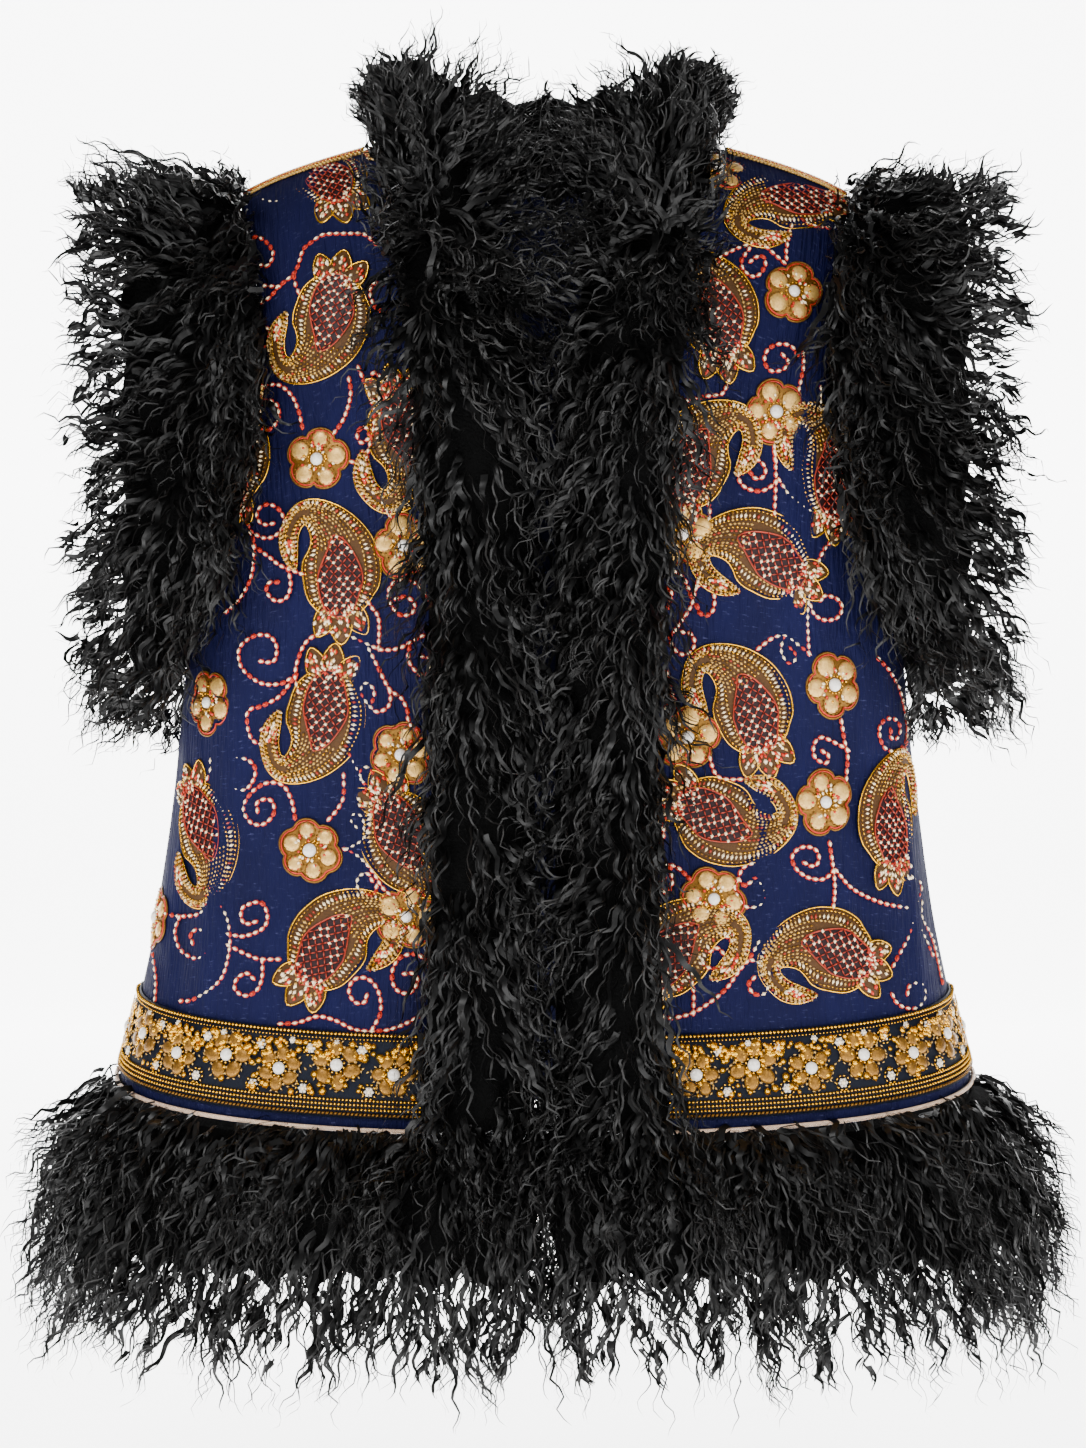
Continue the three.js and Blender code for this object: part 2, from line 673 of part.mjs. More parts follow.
// Size of the armhole fur where it is sewn on and at its free end
const SLEEVE_RINGS = {
  hole: { top: [-58, -64], bottom: [-325, -318], halfDepth: [58, 60] },
  outside: { top: [-20, -24], bottom: [-388, -370], halfDepth: [90, 88] },
};

/** A point of an oval ring of the armhole fur. */
function sleeveRing(ring, along, turn) {
  const top = mix(...ring.top, along);
  const bottom = mix(...ring.bottom, along);
  const round = (value) => Math.sign(value) * Math.abs(value) ** (2 / RING_POWER);
  return {
    y: mix(...ring.halfDepth, along) * round(Math.sin(turn)),
    z: (top + bottom) / 2 + ((top - bottom) / 2) * round(Math.cos(turn)),
  };
}

/** How far out the armhole's edge lies at a height, just clear of the cloth. */
function armholeX(z) {
  const level = z - 12 * ease(-280, -325, z);
  const share = read(ARMHOLE_EDGE, 'share', level);
  const below = ease(-338, -350, level) * 2;
  return share * read(BODY_SECTIONS, 'halfWidth', level) + ARMHOLE_CLEARANCE + below;
}

/** Hollow tube of fur round one armhole. */
function furSleeve(side) {
  const places = 28;
  const solid = new Solid();
  const rings = SLEEVE_PROFILE.map((row, k) =>
    Array.from({ length: places }, (_, i) => {
      const turn = (2 * Math.PI * i) / places;
      const hole = sleeveRing(SLEEVE_RINGS.hole, row.along, turn);
      const outside = sleeveRing(SLEEVE_RINGS.outside, row.along, turn);
      const wallShare = row.wall * (row.wall > 1 ? lockSwell(i, k) ** 0.5 : 1);
      const y = mix(hole.y, outside.y, wallShare);
      const z = mix(hole.z, outside.z, wallShare);
      const endX = SLEEVE_END_X - SLEEVE_END_SLANT * ease(-320, -395, z);
      const tuft = row.tuft * (i % 2 ? SLEEVE_LOCK : -SLEEVE_LOCK / 2);
      const overhang = k === 2 ? SLEEVE_OVERHANG * Math.abs(Math.sin(turn)) : 0;
      return new THREE.Vector3(side * (mix(armholeX(z), endX, row.along) + tuft - overhang), y, z);
    }),
  );
  solid.ring(rings);
  return solid.geometry();
}

// Section of the hem fur: reach out from the cloth and distance down from its hem
const HEM_SECTION = [
  { out: 0, down: 0.9, tuft: 0, band: 1 },
  { out: 15, down: 9, tuft: 0, band: 0.5 },
  { out: 26, down: 36, tuft: 0, band: 0.1 },
  { out: 33, down: 72, tuft: 0, band: 0 },
  { out: 34, down: 100, tuft: 0, band: 0 },
  { out: 29, down: 112, tuft: 1, band: 0 },
  { out: 12, down: 100, tuft: 0.1, band: 0 },
  { out: 1, down: 70, tuft: 0, band: 0 },
  { out: -4, down: 36, tuft: 0, band: 0 },
  { out: -CLOTH_THICKNESS, down: 0.9, tuft: 0, band: -0.25 },
];

/** Fur below the cloth's hem, between two angles round the body. */
function hemFur(facing, from, to, columns) {
  const sections = [];
  const bandAngle = angleOf(frontShare(HEM_SIDE_Z));
  for (let i = 0; i <= columns; i += 1) {
    const angle = mix(from, to, i / columns);
    const top = hemZ(angle);
    const underBand = facing < 0 ? ease(bandAngle * 1.15, bandAngle * 0.8, Math.abs(angle)) : 0;
    const ahead = bodyPoint(mix(from, to, Math.min(i + 0.5, columns) / columns), top, facing);
    const behind = bodyPoint(mix(from, to, Math.max(i - 0.5, 0) / columns), top, facing);
    const along = ahead.sub(behind);
    const outwards = new THREE.Vector3(-along.y, along.x, 0).normalize();
    if (outwards.x * angle * 0.3 + outwards.y * facing < 0) outwards.negate();
    const parting = facing < 0 ? HEM_PARTING : 0;
    sections.push(
      HEM_SECTION.map((row, k) => {
        const lock = row.tuft * (i % 2 ? HEM_LOCK_LENGTH : 0) * (1 + 0.2 * Math.sin(i * 2.3));
        const z = top - row.down - lock;
        const swell = row.out > 20 ? lockSwell(i, k) ** 0.5 : 1;
        const out = row.out * swell + row.band * underBand * BAND_THICKNESS_AT_HEM;
        const point = bodyPoint(angle, z, facing).addScaledVector(outwards, out);
        point.z = z;
        point.y = facing * Math.max(facing * point.y, SEAM_HALF_GAP);
        if (facing < 0) {
          const side = Math.sign(from + to);
          const clear = SEAM_HALF_GAP + parting * ease(top - 60, top - 140, z);
          point.x = side * Math.max(side * point.x, clear);
        }
        return point;
      }),
    );
  }
  return loft(sections);
}

/** Strip of gold beads on the front just below a shoulder seam. */
function seamTrim(surface) {
  const region = { s0: 0.14, s1: 0.97, facing: -1, v0: () => 0.012, v1: () => 0.05 };
  return wall(
    gridOf(surface, region, 9, 2, () => 2 * CLEARANCE + BORDER_THICKNESS),
    gridOf(surface, region, 9, 2, () => 2 * CLEARANCE),
  );
}

/** Hanger loop of cord inside the back neck. */
function hangerLoop() {
  const y = backSurface(0, 0).y - COLLAR_BACK_WIDTH - LOOP_RADIUS - LOOP_SEAT;
  const line = Array.from({ length: 11 }, (_, i) => {
    const turn = (Math.PI * i) / 10;
    const x = (-LOOP_WIDTH / 2) * Math.cos(turn);
    return new THREE.Vector3(x, y, LOOP_TOP_Z - LOOP_DROP * Math.sin(turn) ** 0.7);
  });
  return cord(line, LOOP_RADIUS);
}

for (const [name, side, motifs] of [
  ['left', -1, LEFT_MOTIFS],
  ['right', 1, RIGHT_MOTIFS],
]) {
  const surface = frontSurface(side);
  const grids = [{ columns: 15, rows: 56 }, { columns: 5, rows: 14 }];
  addPiece(`front_${name}`, clothPanel(surface, -1, 0, 1, motifs, ...grids), CREPE());
  addPiece(`hem_border_front_${name}`, borderPiece(surface, -1, 0, 1, 15), GOLD_WORK());
  addPiece(`hem_piping_front_${name}`, piping(surface, -1, 0.015, 1, 15), PIPING());
  addPiece(`fur_band_${name}`, furBand(side), FUR());
  addPiece(`fur_armhole_${name}`, furSleeve(side), FUR());
  const hemEnds = [side * 0.002, side * (Math.PI / 2 - 0.004)];
  addPiece(`fur_hem_front_${name}`, hemFur(-1, ...hemEnds, 26), FUR());
  addPiece(`shoulder_trim_${name}`, seamTrim(surface), GOLD_WORK());
}
addPiece('back', clothPanel(backSurface, 1, -1, 1, BACK_MOTIFS, { columns: BACK_COLUMNS, rows: 40 },
  { columns: BACK_COLUMNS, rows: 10 }), CREPE());
addPiece('hem_border_back', borderPiece(backSurface, 1, -1, 1, BACK_COLUMNS), GOLD_WORK());
addPiece('hem_piping_back', piping(backSurface, 1, -1, 1, BACK_COLUMNS), PIPING());
addPiece('fur_collar', furCollar(), FUR());
addPiece('fur_hem_back', hemFur(1, 0.004 - Math.PI / 2, Math.PI / 2 - 0.004, 50), FUR());
addPiece('hanger_loop', hangerLoop(), paint('#26262b', 0.8));

export default gilet;
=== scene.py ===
"""Open-fronted gilet of embroidered navy crepe with long curly fur, as it looks when worn.

The cloth, its needlework and the fur are built round the solids of the frame.
Lengths are millimetres until a mesh is made; the gilet's front faces -Y and +Z is up.
"""

import logging
import math
from dataclasses import dataclass, field
from enum import Enum

import bmesh
import bpy
import numpy as np
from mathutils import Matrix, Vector


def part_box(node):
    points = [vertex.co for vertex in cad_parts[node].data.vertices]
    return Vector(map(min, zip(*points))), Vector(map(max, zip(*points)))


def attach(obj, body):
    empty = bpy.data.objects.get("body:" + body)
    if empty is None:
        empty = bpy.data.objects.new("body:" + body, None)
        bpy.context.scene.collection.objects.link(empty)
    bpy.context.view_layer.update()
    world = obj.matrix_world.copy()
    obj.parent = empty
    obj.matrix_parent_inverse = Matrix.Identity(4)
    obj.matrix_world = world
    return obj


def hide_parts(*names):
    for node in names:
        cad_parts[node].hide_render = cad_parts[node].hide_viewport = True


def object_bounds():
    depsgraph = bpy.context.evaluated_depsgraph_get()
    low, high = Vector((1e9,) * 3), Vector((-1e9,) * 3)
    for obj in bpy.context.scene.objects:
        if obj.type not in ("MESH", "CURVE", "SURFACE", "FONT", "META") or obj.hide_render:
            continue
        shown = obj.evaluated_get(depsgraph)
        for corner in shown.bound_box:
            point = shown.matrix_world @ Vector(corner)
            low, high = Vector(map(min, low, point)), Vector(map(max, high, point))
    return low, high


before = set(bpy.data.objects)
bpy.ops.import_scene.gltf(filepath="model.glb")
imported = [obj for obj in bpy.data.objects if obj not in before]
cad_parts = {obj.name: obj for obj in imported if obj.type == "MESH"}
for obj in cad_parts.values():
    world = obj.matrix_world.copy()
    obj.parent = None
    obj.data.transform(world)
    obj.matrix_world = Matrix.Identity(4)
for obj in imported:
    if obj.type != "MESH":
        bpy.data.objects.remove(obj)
CAD_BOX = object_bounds()
LOG = logging.getLogger("gilet")
MM = 0.001

Array = np.ndarray
Piece = bpy.types.Object
Tree = bpy.types.NodeTree
Socket = bpy.types.NodeSocket
Random = np.random.Generator


def mix(low: Array, high: Array, share: Array) -> Array:
    """Return the value at a share of the way from low to high."""
    return low + (high - low) * share


def ease(low: float, high: float, value: Array) -> Array:
    """Return 0 to 1 on a smooth step as the value goes from low to high."""
    share = np.clip((np.asarray(value, float) - low) / (high - low), 0.0, 1.0)
    return share * share * (3.0 - 2.0 * share)


def unit(vectors: Array) -> Array:
    """Return the vectors scaled to a length of one."""
    return vectors / np.maximum(np.linalg.norm(vectors, axis=-1, keepdims=True), 1e-9)


def rows(*parts: Array) -> Array:
    """Return rows whose columns are the parts, each spread to the same shape."""
    return np.stack(np.broadcast_arrays(*parts), axis=-1)


def paired(first: Array, second: Array) -> tuple[Array, Array]:
    """Return both as arrays of numbers of one shape."""
    return np.broadcast_arrays(np.asarray(first, float), np.asarray(second, float))


def round_turn(count: int) -> Array:
    """Return angles that lie evenly round a circle."""
    return np.arange(count) / count * math.tau


def polar(radius: Array, turn: Array) -> tuple[Array, Array]:
    """Return how far across and up places lie, from their distances and angles."""
    return radius * np.cos(turn), radius * np.sin(turn)


def rotated(across: Array, up: Array, turn: float) -> tuple[Array, Array]:
    """Return distances across and up after a turn about the middle."""
    cos, sin = math.cos(turn), math.sin(turn)
    return across * cos - up * sin, across * sin + up * cos


def running(line: Array) -> Array:
    """Return the length of a line up to each of its points."""
    return np.concatenate([[0], np.cumsum(np.linalg.norm(np.diff(line, axis=0), axis=1))])


def linear(hex_colour: str) -> tuple[float, float, float, float]:
    """Turn an sRGB hex colour into linear red, green, blue and alpha.

    Args:
        hex_colour: Six hex digits after a hash mark.

    Returns:
        The linear colour with an alpha of one.
    """
    parts = [int(hex_colour[i:i + 2], 16) / 255 for i in (1, 3, 5)]
    red, green, blue = [c / 12.92 if c <= 0.04045 else ((c + 0.055) / 1.055) ** 2.4 for c in parts]
    return red, green, blue, 1.0


def add_node(tree: Tree, kind: str, settings: dict | None = None, inputs: dict | None = None,
             links: dict | None = None) -> bpy.types.Node:
    """Add a node with its settings, the values of its sockets and its links.

    Args:
        tree: The node tree that gets the node.
        kind: The node's type name.
        settings: Properties of the node by name.
        inputs: Values of input sockets by name or number.
        links: Output sockets to join to input sockets, by name or number.

    Returns:
        The new node.
    """
    node = tree.nodes.new(kind)
    for name, value in (settings or {}).items():
        setattr(node, name, value)
    for name, value in (inputs or {}).items():
        node.inputs[name].default_value = value
    for name, source in (links or {}).items():
        tree.links.new(source, node.inputs[name])
    return node


def noise(tree: Tree, vector: Socket, scale: float, detail: float, roughness: float = 0.5) -> Socket:
    """Return the value of a noise over a vector."""
    node = add_node(tree, "ShaderNodeTexNoise", links={"Vector": vector}, inputs={
        "Scale": scale, "Detail": detail, "Roughness": roughness})
    return node.outputs["Fac"]


def blend(tree: Tree, share: Socket, low: str | Socket, high: str) -> Socket:
    """Return the colour at a share of the way from a low one to a high one."""
    node = add_node(tree, "ShaderNodeMix", settings={"data_type": "RGBA"}, links={0: share})
    if isinstance(low, str):
        node.inputs["A"].default_value = linear(low)
    else:
        tree.links.new(low, node.inputs["A"])
    node.inputs["B"].default_value = linear(high)
    return node.outputs["Result"]


def relief(tree: Tree, height: Socket, strength: float, rise_mm: float,
           under: Socket | None = None) -> Socket:
    """Return a normal that is bent by a height, over another normal if there is one."""
    links = {"Height": height, "Normal": under} if under else {"Height": height}
    node = add_node(tree, "ShaderNodeBump", links=links, inputs={
        "Strength": strength, "Distance": rise_mm * MM})
    return node.outputs["Normal"]


def cut_map(tree: Tree, across: float = 1.0, up: float = 1.0) -> Socket:
    """Return the piece's own map in millimetres of its cut, scaled across and up it."""
    cut = add_node(tree, "ShaderNodeUVMap", settings={"uv_map": "cut"})
    node = add_node(tree, "ShaderNodeMapping", inputs={"Scale": (across, up, 1)},
                    links={"Vector": cut.outputs["UV"]})
    return node.outputs["Vector"]


def linked(name: str, data: bpy.types.ID) -> Piece:
    """Make an object of a mesh, a lamp or a camera, and put it in the scene."""
    made = bpy.data.objects.new(name, data)
    bpy.context.scene.collection.objects.link(made)
    return made


def settle(piece: Piece, node: str = "") -> Piece:
    """Let a piece ride on the gilet's one body, in place of a solid if it stands for one.

    Args:
        piece: The piece.
        node: The solid that it replaces, if any.

    Returns:
        The piece.
    """
    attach(piece, "root")
    if node:
        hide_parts(node)
    return piece


class Facing(Enum):
    """The half of the body that a piece of cloth covers."""

    FRONT = -1
    BACK = 1


@dataclass(frozen=True)
class Profile:
    """A short table of sizes by height, read on a smooth curve through its rows."""

    heights: tuple[float, ...]
    values: tuple[float, ...]

    def at(self, height: Array) -> Array:
        """Return the size at each height.

        Args:
            height: Heights in millimetres.

        Returns:
            The sizes, held level past the ends of the table.
        """
        heights, values = np.array(self.heights), np.array(self.values)
        count = len(heights)
        z = np.clip(height, heights[0], heights[-1])
        i = np.clip(np.searchsorted(heights, z, side="right") - 1, 0, count - 2)
        k = np.arange(count)
        after, before = np.minimum(k + 1, count - 1), np.maximum(k - 1, 0)
        slope = (values[after] - values[before]) / (heights[after] - heights[before])
        span = heights[i + 1] - heights[i]
        u = (z - heights[i]) / span
        bend = span * u * (1 - u) * ((1 - u) * slope[i] - u * slope[i + 1])
        return mix(values[i], values[i + 1], u * u * (3 - 2 * u)) + bend


SECTION_HEIGHTS = (-800, -700, -615, -560, -500, -420, -335, -250, -170, -100, 40)


@dataclass(frozen=True)
class Body:
    """The general figure that the gilet is cut for, as the frame's solids have it."""

    half_width: Profile = Profile(
        SECTION_HEIGHTS, (282, 282, 277, 263, 251, 240, 232, 226, 220, 217, 212))
    front_depth: Profile = Profile(
        SECTION_HEIGHTS, (134, 136, 134, 127, 119, 111, 108, 108, 104, 102, 100))
    back_depth: Profile = Profile(
        SECTION_HEIGHTS, (128, 130, 128, 120, 111, 102, 97, 100, 102, 100, 98))
    front_edge: Profile = Profile(
        (-700, -638, -476, -303, -197, -112, -40, 10), (76, 72, 66, 68, 75, 87, 96, 98))
    armhole: Profile = Profile(
        (-700, -336, -328, -312, -285, -250, -200, -140, -90, -37, 40),
        (1, 1, 0.985, 0.947, 0.9, 0.862, 0.83, 0.822, 0.855, 0.916, 0.92))
    power: float = 2.4
    neck_x: float = 98
    shoulder_x: float = 195
    shoulder_neck_z: float = -2
    shoulder_slope: float = 0.36
    chest_z: float = -170
    back_neck_z: float = -14
    hem_side_z: float = -605
    hem_drop: float = 30
    yoke_share: float = 0.31
    seam_gap: float = 0.2
    neck_column_share: float = 16 / 26
    widest_share: float = 0.98
    over_shoulder: float = 1.9
    batch: int = 8000

    def shoulder_z(self, x: Array) -> Array:
        """Return the height of the shoulder line at a distance from the middle."""
        return self.shoulder_neck_z - self.shoulder_slope * (np.abs(x) - self.neck_x)

    def hem_z(self, angle: Array) -> Array:
        """Return the height of the cloth's hem at an angle round the body."""
        return self.hem_side_z - self.hem_drop * np.maximum(np.cos(angle), 0) ** 0.9

    def angle_of(self, share: Array) -> Array:
        """Return the angle at which a section is a share of its half width out."""
        return np.arcsin(np.clip(share, 0, 1) ** (self.power / 2))

    def depth(self, z: Array, facing: Facing) -> Array:
        """Return a section's depth at a height, on the front or the back."""
        return (self.front_depth if facing is Facing.FRONT else self.back_depth).at(z)

    def outline(self, angle: Array) -> tuple[Array, Array]:
        """Return a section's shares of half width and depth at angles round it."""
        return (np.abs(np.sin(angle)) ** (2 / self.power),
                np.maximum(np.cos(angle), 0) ** (2 / self.power))

    def depth_over(self, x: Array, z: Array, facing: Facing) -> Array:
        """Return a section's depth at distances from the middle."""
        share = np.clip(np.abs(x) / self.half_width.at(z), 0, self.widest_share)
        return self.depth(z, facing) * (1 - share ** self.power) ** (1 / self.power)

    def point(self, angle: Array, z: Array, facing: Facing, rounding: Array = 1.0) -> Array:
        """Find points of the body's surface.

        Args:
            angle: Angles round the section from its middle, in radians.
            z: Heights in millimetres.
            facing: The half of the body.
            rounding: How far the depth is drawn in over the shoulder, 1 for not at all.

        Returns:
            Points as rows of x, y and z.
        """
        across, deep = self.outline(angle)
        y = np.maximum(self.depth(z, facing) * deep * rounding, self.seam_gap)
        return rows(np.sign(angle) * self.half_width.at(z) * across, facing.value * y, z)

    def down_column(self, crown: Array, top: Array, bottom: Array, v: Array) -> tuple[Array, Array]:
        """Find the height and roundness down a column of a panel.

        Args:
            crown: Height of the shoulder line over the column.
            top: Height of the column's upper end.
            bottom: Height of its lower end.
            v: Shares of the way down, from 0 to 1.

        Returns:
            Heights, and shares by which the depth is drawn in.
        """
        below = v > self.yoke_share
        reach = (top - self.chest_z) / (crown - self.chest_z)
        turn = np.arcsin(np.clip(reach, 0, 1)) * (1 - np.minimum(v / self.yoke_share, 1))
        low = mix(self.chest_z, bottom, (v - self.yoke_share) / (1 - self.yoke_share))
        high = self.chest_z + (crown - self.chest_z) * np.sin(turn)
        return np.where(below, low, high), np.where(below, 1.0, np.cos(turn))

    def front(self, side: int, s: Array, v: Array) -> Array:
        """Find points of a front panel.

        Args:
            side: -1 for the left of a front view, 1 for the right.
            s: Shares from the front edge to the side.
            v: Shares from the shoulder to the hem.

        Returns:
            Points as rows of x, y and z.
        """
        crown = self.shoulder_z(mix(self.neck_x, self.shoulder_x, s))
        edge = self.front_edge.at(self.hem_side_z) / self.half_width.at(self.hem_side_z)
        hem = self.hem_z(mix(self.angle_of(edge), math.pi / 2, s))
        z, rounding = self.down_column(crown, crown, hem, v)
        inner = self.angle_of(self.front_edge.at(z) / self.half_width.at(z))
        outer = self.angle_of(self.armhole.at(z))
        return self.point(side * mix(inner, outer, s), z, Facing.FRONT, rounding)

    def back(self, c: Array, v: Array) -> Array:
        """Find points of the back panel.

        Args:
            c: Shares across, from -1 at the left side to 1 at the right.
            v: Shares from the top edge to the hem.

        Returns:
            Points as rows of x, y and z.
        """
        share = np.abs(c) / self.neck_column_share
        neck = self.neck_x * np.sin(np.minimum(share, 1) * math.pi / 2)
        past = np.maximum(share - 1, 0) / (1 / self.neck_column_share - 1)
        x = np.where(share < 1, neck, mix(self.neck_x, self.shoulder_x, past))
        dip = mix(self.back_neck_z, self.shoulder_neck_z, np.minimum(x / self.neck_x, 1) ** 2)
        top = np.where(x < self.neck_x, dip, self.shoulder_z(x))
        s = x / self.shoulder_x
        z, rounding = self.down_column(self.shoulder_z(x), top, self.hem_z(s * math.pi / 2), v)
        outer = self.armhole.at(z)
        even = s * self.angle_of(outer)
        level = ease(2 * self.chest_z, self.chest_z, z)
        angle = mix(even, self.angle_of(s * outer), level)
        return self.point(np.sign(c) * angle, z, Facing.BACK, rounding)

    def place(self, arc: Array, drop: Array, facing: Facing) -> Array:
        """Find places on the cloth from distances measured along it.

        Args:
            arc: Signed distances round the body from its middle.
            drop: Heights below the chest line, or above it distances up over the shoulder.
            facing: The half of the body.

        Returns:
            Points as rows of x, y and z.
        """
        arc, drop = paired(arc, drop)
        z, rounding = drop.copy(), np.ones_like(drop)
        climb = np.maximum(drop - self.chest_z, 0)
        turns = np.linspace(0, self.over_shoulder, 30)
        each = np.arange(len(arc))
        x = np.minimum(np.abs(arc), self.shoulder_x)
        for _ in range(2):
            high = self.shoulder_z(x) - self.chest_z
            reach = self.depth_over(x, z, facing)
            pace = np.hypot(high[:, None] * np.cos(turns), reach[:, None] * np.sin(turns))
            gone = np.zeros_like(pace)
            gone[:, 1:] = np.cumsum((pace[:, 1:] + pace[:, :-1]) / 2 * np.diff(turns), axis=1)
            i = np.clip((gone < climb[:, None]).sum(axis=1) - 1, 0, len(turns) - 2)
            part = (climb - gone[each, i]) / np.maximum(gone[each, i + 1] - gone[each, i], 1e-6)
            turn = turns[i] + np.clip(part, 0, 1) * (turns[1] - turns[0])
            up = climb > 0
            z = np.where(up, self.chest_z + high * np.sin(turn), drop)
            rounding = np.where(up, np.maximum(np.cos(turn), 0.02), 1.0)
            angles = np.linspace(0, math.pi / 2, 48)
            width, deep = self.half_width.at(z), self.depth(z, facing) * rounding
            dx, dy = (np.diff(flat) for flat in self.outline(angles))
            length = np.hypot(width[:, None] * dx, deep[:, None] * dy)
            run = np.zeros((len(arc), len(angles)))
            run[:, 1:] = np.cumsum(length, axis=1)
            k = np.clip((run < np.abs(arc)[:, None]).sum(axis=1) - 1, 0, len(angles) - 2)
            rest = (np.abs(arc) - run[each, k]) / np.maximum(run[each, k + 1] - run[each, k], 1e-6)
            angle = angles[k] + np.clip(rest, 0, 1.2) * (angles[1] - angles[0])
            x = width * self.outline(angle)[0]
        return self.point(np.sign(arc + 1e-9) * np.minimum(angle, math.pi / 2), z, facing, rounding)

    def frames(self, arc: Array, drop: Array, facing: Facing) -> tuple[Array, Array]:
        """Find places on the cloth with their directions across, up and out.

        Args:
            arc: Signed distances round the body from its middle.
            drop: Heights, as place takes them.
            facing: The half of the body.

        Returns:
            Points, and for each point three rows: across, up and outwards.
        """
        arc, drop = paired(arc, drop)
        points, step = [], 1.0
        for start in range(0, len(arc), self.batch):
            a, d = arc[start:start + self.batch], drop[start:start + self.batch]
            here = self.place(a, d, facing)
            across = unit(self.place(a + step, d, facing) - self.place(a - step, d, facing))
            up = self.place(a, d + step, facing) - self.place(a, d - step, facing)
            out = unit(np.cross(across, up)) * -facing.value
            up = np.cross(out, across) * -facing.value
            points.append(np.stack([here, across, up, out], axis=1))
        stacked = np.concatenate(points) if points else np.zeros((0, 4, 3))
        return stacked[:, 0], stacked[:, 1:]


BODY = Body()


# Finishes


@dataclass(frozen=True)
class Finish:
    """A finish whose colour varies a little from place to place."""

    name: str
    colour: str
    shade: str
    roughness: float
    metallic: float = 0.0
    grain_mm: float = 3.0
    coat: float = 0.0
    gloss: float = 0.5
    relief_mm: float = 0.3
    glow: float = 0.0
    fine_share: float = 0.4

    def colours(self, tree: Tree) -> Socket:
        """Return a colour that wanders between the finish's two colours."""
        place = add_node(tree, "ShaderNodeTexCoord").outputs["Object"]
        return blend(tree, noise(tree, place, 1 / (self.grain_mm * MM), 2.0), self.shade, self.colour)

    def bump(self, tree: Tree) -> Socket | None:
        """Return a normal for the surface's fine grain, if it has one."""
        place = add_node(tree, "ShaderNodeTexCoord").outputs["Object"]
        grain = noise(tree, place, 1 / (self.grain_mm * self.fine_share * MM), 1.0)
        return relief(tree, grain, 0.35, self.relief_mm)

    def material(self) -> bpy.types.Material:
        """Make the finish's material once and return it."""
        known = bpy.data.materials.get(self.name)
        if known:
            return known
        made = bpy.data.materials.new(self.name)
        made.use_nodes = True
        tree = made.node_tree
        shader = tree.nodes["Principled BSDF"]
        for name, value in (("Roughness", self.roughness), ("Metallic", self.metallic),
                            ("Coat Weight", self.coat), ("Specular IOR Level", self.gloss),
                            ("Emission Color", linear("#ffffff")), ("Emission Strength", self.glow)):
            shader.inputs[name].default_value = value
        tree.links.new(self.colours(tree), shader.inputs["Base Color"])
        normal = self.bump(tree)
        if normal:
            tree.links.new(normal, shader.inputs["Normal"])
        made.diffuse_color = linear(self.colour)
        return made


@dataclass(frozen=True)
class Crepe(Finish):
    """Crinkled crepe: a matt navy weave with upright puckers and pale slubs."""

    pucker_mm: tuple[float, float] = (2.6, 26.0)
    slub_mm: tuple[float, float] = (7.0, 1.5)
    cloud_mm: tuple[float, float] = (30.0, 90.0)
    slub: str = "#5f618c"

    def colours(self, tree: Tree) -> Socket:
        """Return navy with faint upright rows of pale slubs."""
        across, up = self.cloud_mm
        cloud = noise(tree, cut_map(tree, 1 / across, 1 / up), 1.0, 3.0)
        ground = blend(tree, cloud, self.shade, self.colour)
        across, up = self.slub_mm
        speck = noise(tree, cut_map(tree, 1 / across, 1 / up), 1.0, 4.0, 0.7)
        fleck = add_node(tree, "ShaderNodeMapRange", links={"Value": speck}, inputs={
            "From Min": 0.6, "From Max": 0.7, "To Min": 0.0, "To Max": 0.3})
        return blend(tree, fleck.outputs["Result"], ground, self.slub)

    def bump(self, tree: Tree) -> Socket | None:
        """Return a normal with upright puckers over a fine weave."""
        across, up = self.pucker_mm
        pucker = noise(tree, cut_map(tree, 1 / across, 1 / up), 1.0, 2.0)
        weave = noise(tree, cut_map(tree, 1.6, 1.1), 1.0, 1.0)
        return relief(tree, weave, 0.5, 0.25, relief(tree, pucker, 1.0, 2.2))


@dataclass(frozen=True)
class Fur(Finish):
    """Long curly wool, dyed black: dark strands with a soft gloss, and tips painted paler as a highlight.
    """

    # The tip colour is a painted highlight that each strand pales towards
    tip: str = "#211f1e"

    def colours(self, tree: Tree) -> Socket:
        """Return black that pales along each strand by its tone, towards the tip's painted highlight."""
        tone = add_node(tree, "ShaderNodeAttribute", settings={"attribute_name": "tone"})
        return blend(tree, tone.outputs["Fac"], self.shade, self.tip)

    def bump(self, tree: Tree) -> Socket | None:
        """Return nothing: the strands themselves are the grain."""
        return None


@dataclass(frozen=True)
class Twist(Finish):
    """A corded piping wound from two plies, seen as slanting ridges."""

    ply_mm: float = 2.4

    def wave(self, tree: Tree) -> Socket:
        """Return the slanting wave of the plies, along the cord's own map."""
        wave = add_node(tree, "ShaderNodeTexWave", settings={"bands_direction": "DIAGONAL"},
                        inputs={"Scale": 1 / self.ply_mm, "Distortion": 0.4},
                        links={"Vector": cut_map(tree)})
        return wave.outputs["Fac"]

    def colours(self, tree: Tree) -> Socket:
        """Return stripes of the two plies' colours."""
        return blend(tree, self.wave(tree), self.shade, self.colour)

    def bump(self, tree: Tree) -> Socket | None:
        """Return a normal with slanting ridges along the cord's own map."""
        return relief(tree, self.wave(tree), 0.9, 0.8)


# Crepe scatters light from its crinkles, so it is matt; its inside is duller still
CREPE = Crepe("crinkled_crepe_navy", "#080b32", "#040520", 0.75, gloss=0.1)
CREPE_INSIDE = Finish("crepe_inside_navy", "#080a26", "#050719", 0.9, grain_mm=5, gloss=0.1)
# The border's ground is a closer, darker satin weave
GROUND = Finish("border_ground_satin", "#050c1a", "#03050f", 0.55, grain_mm=1.5, gloss=0.12)
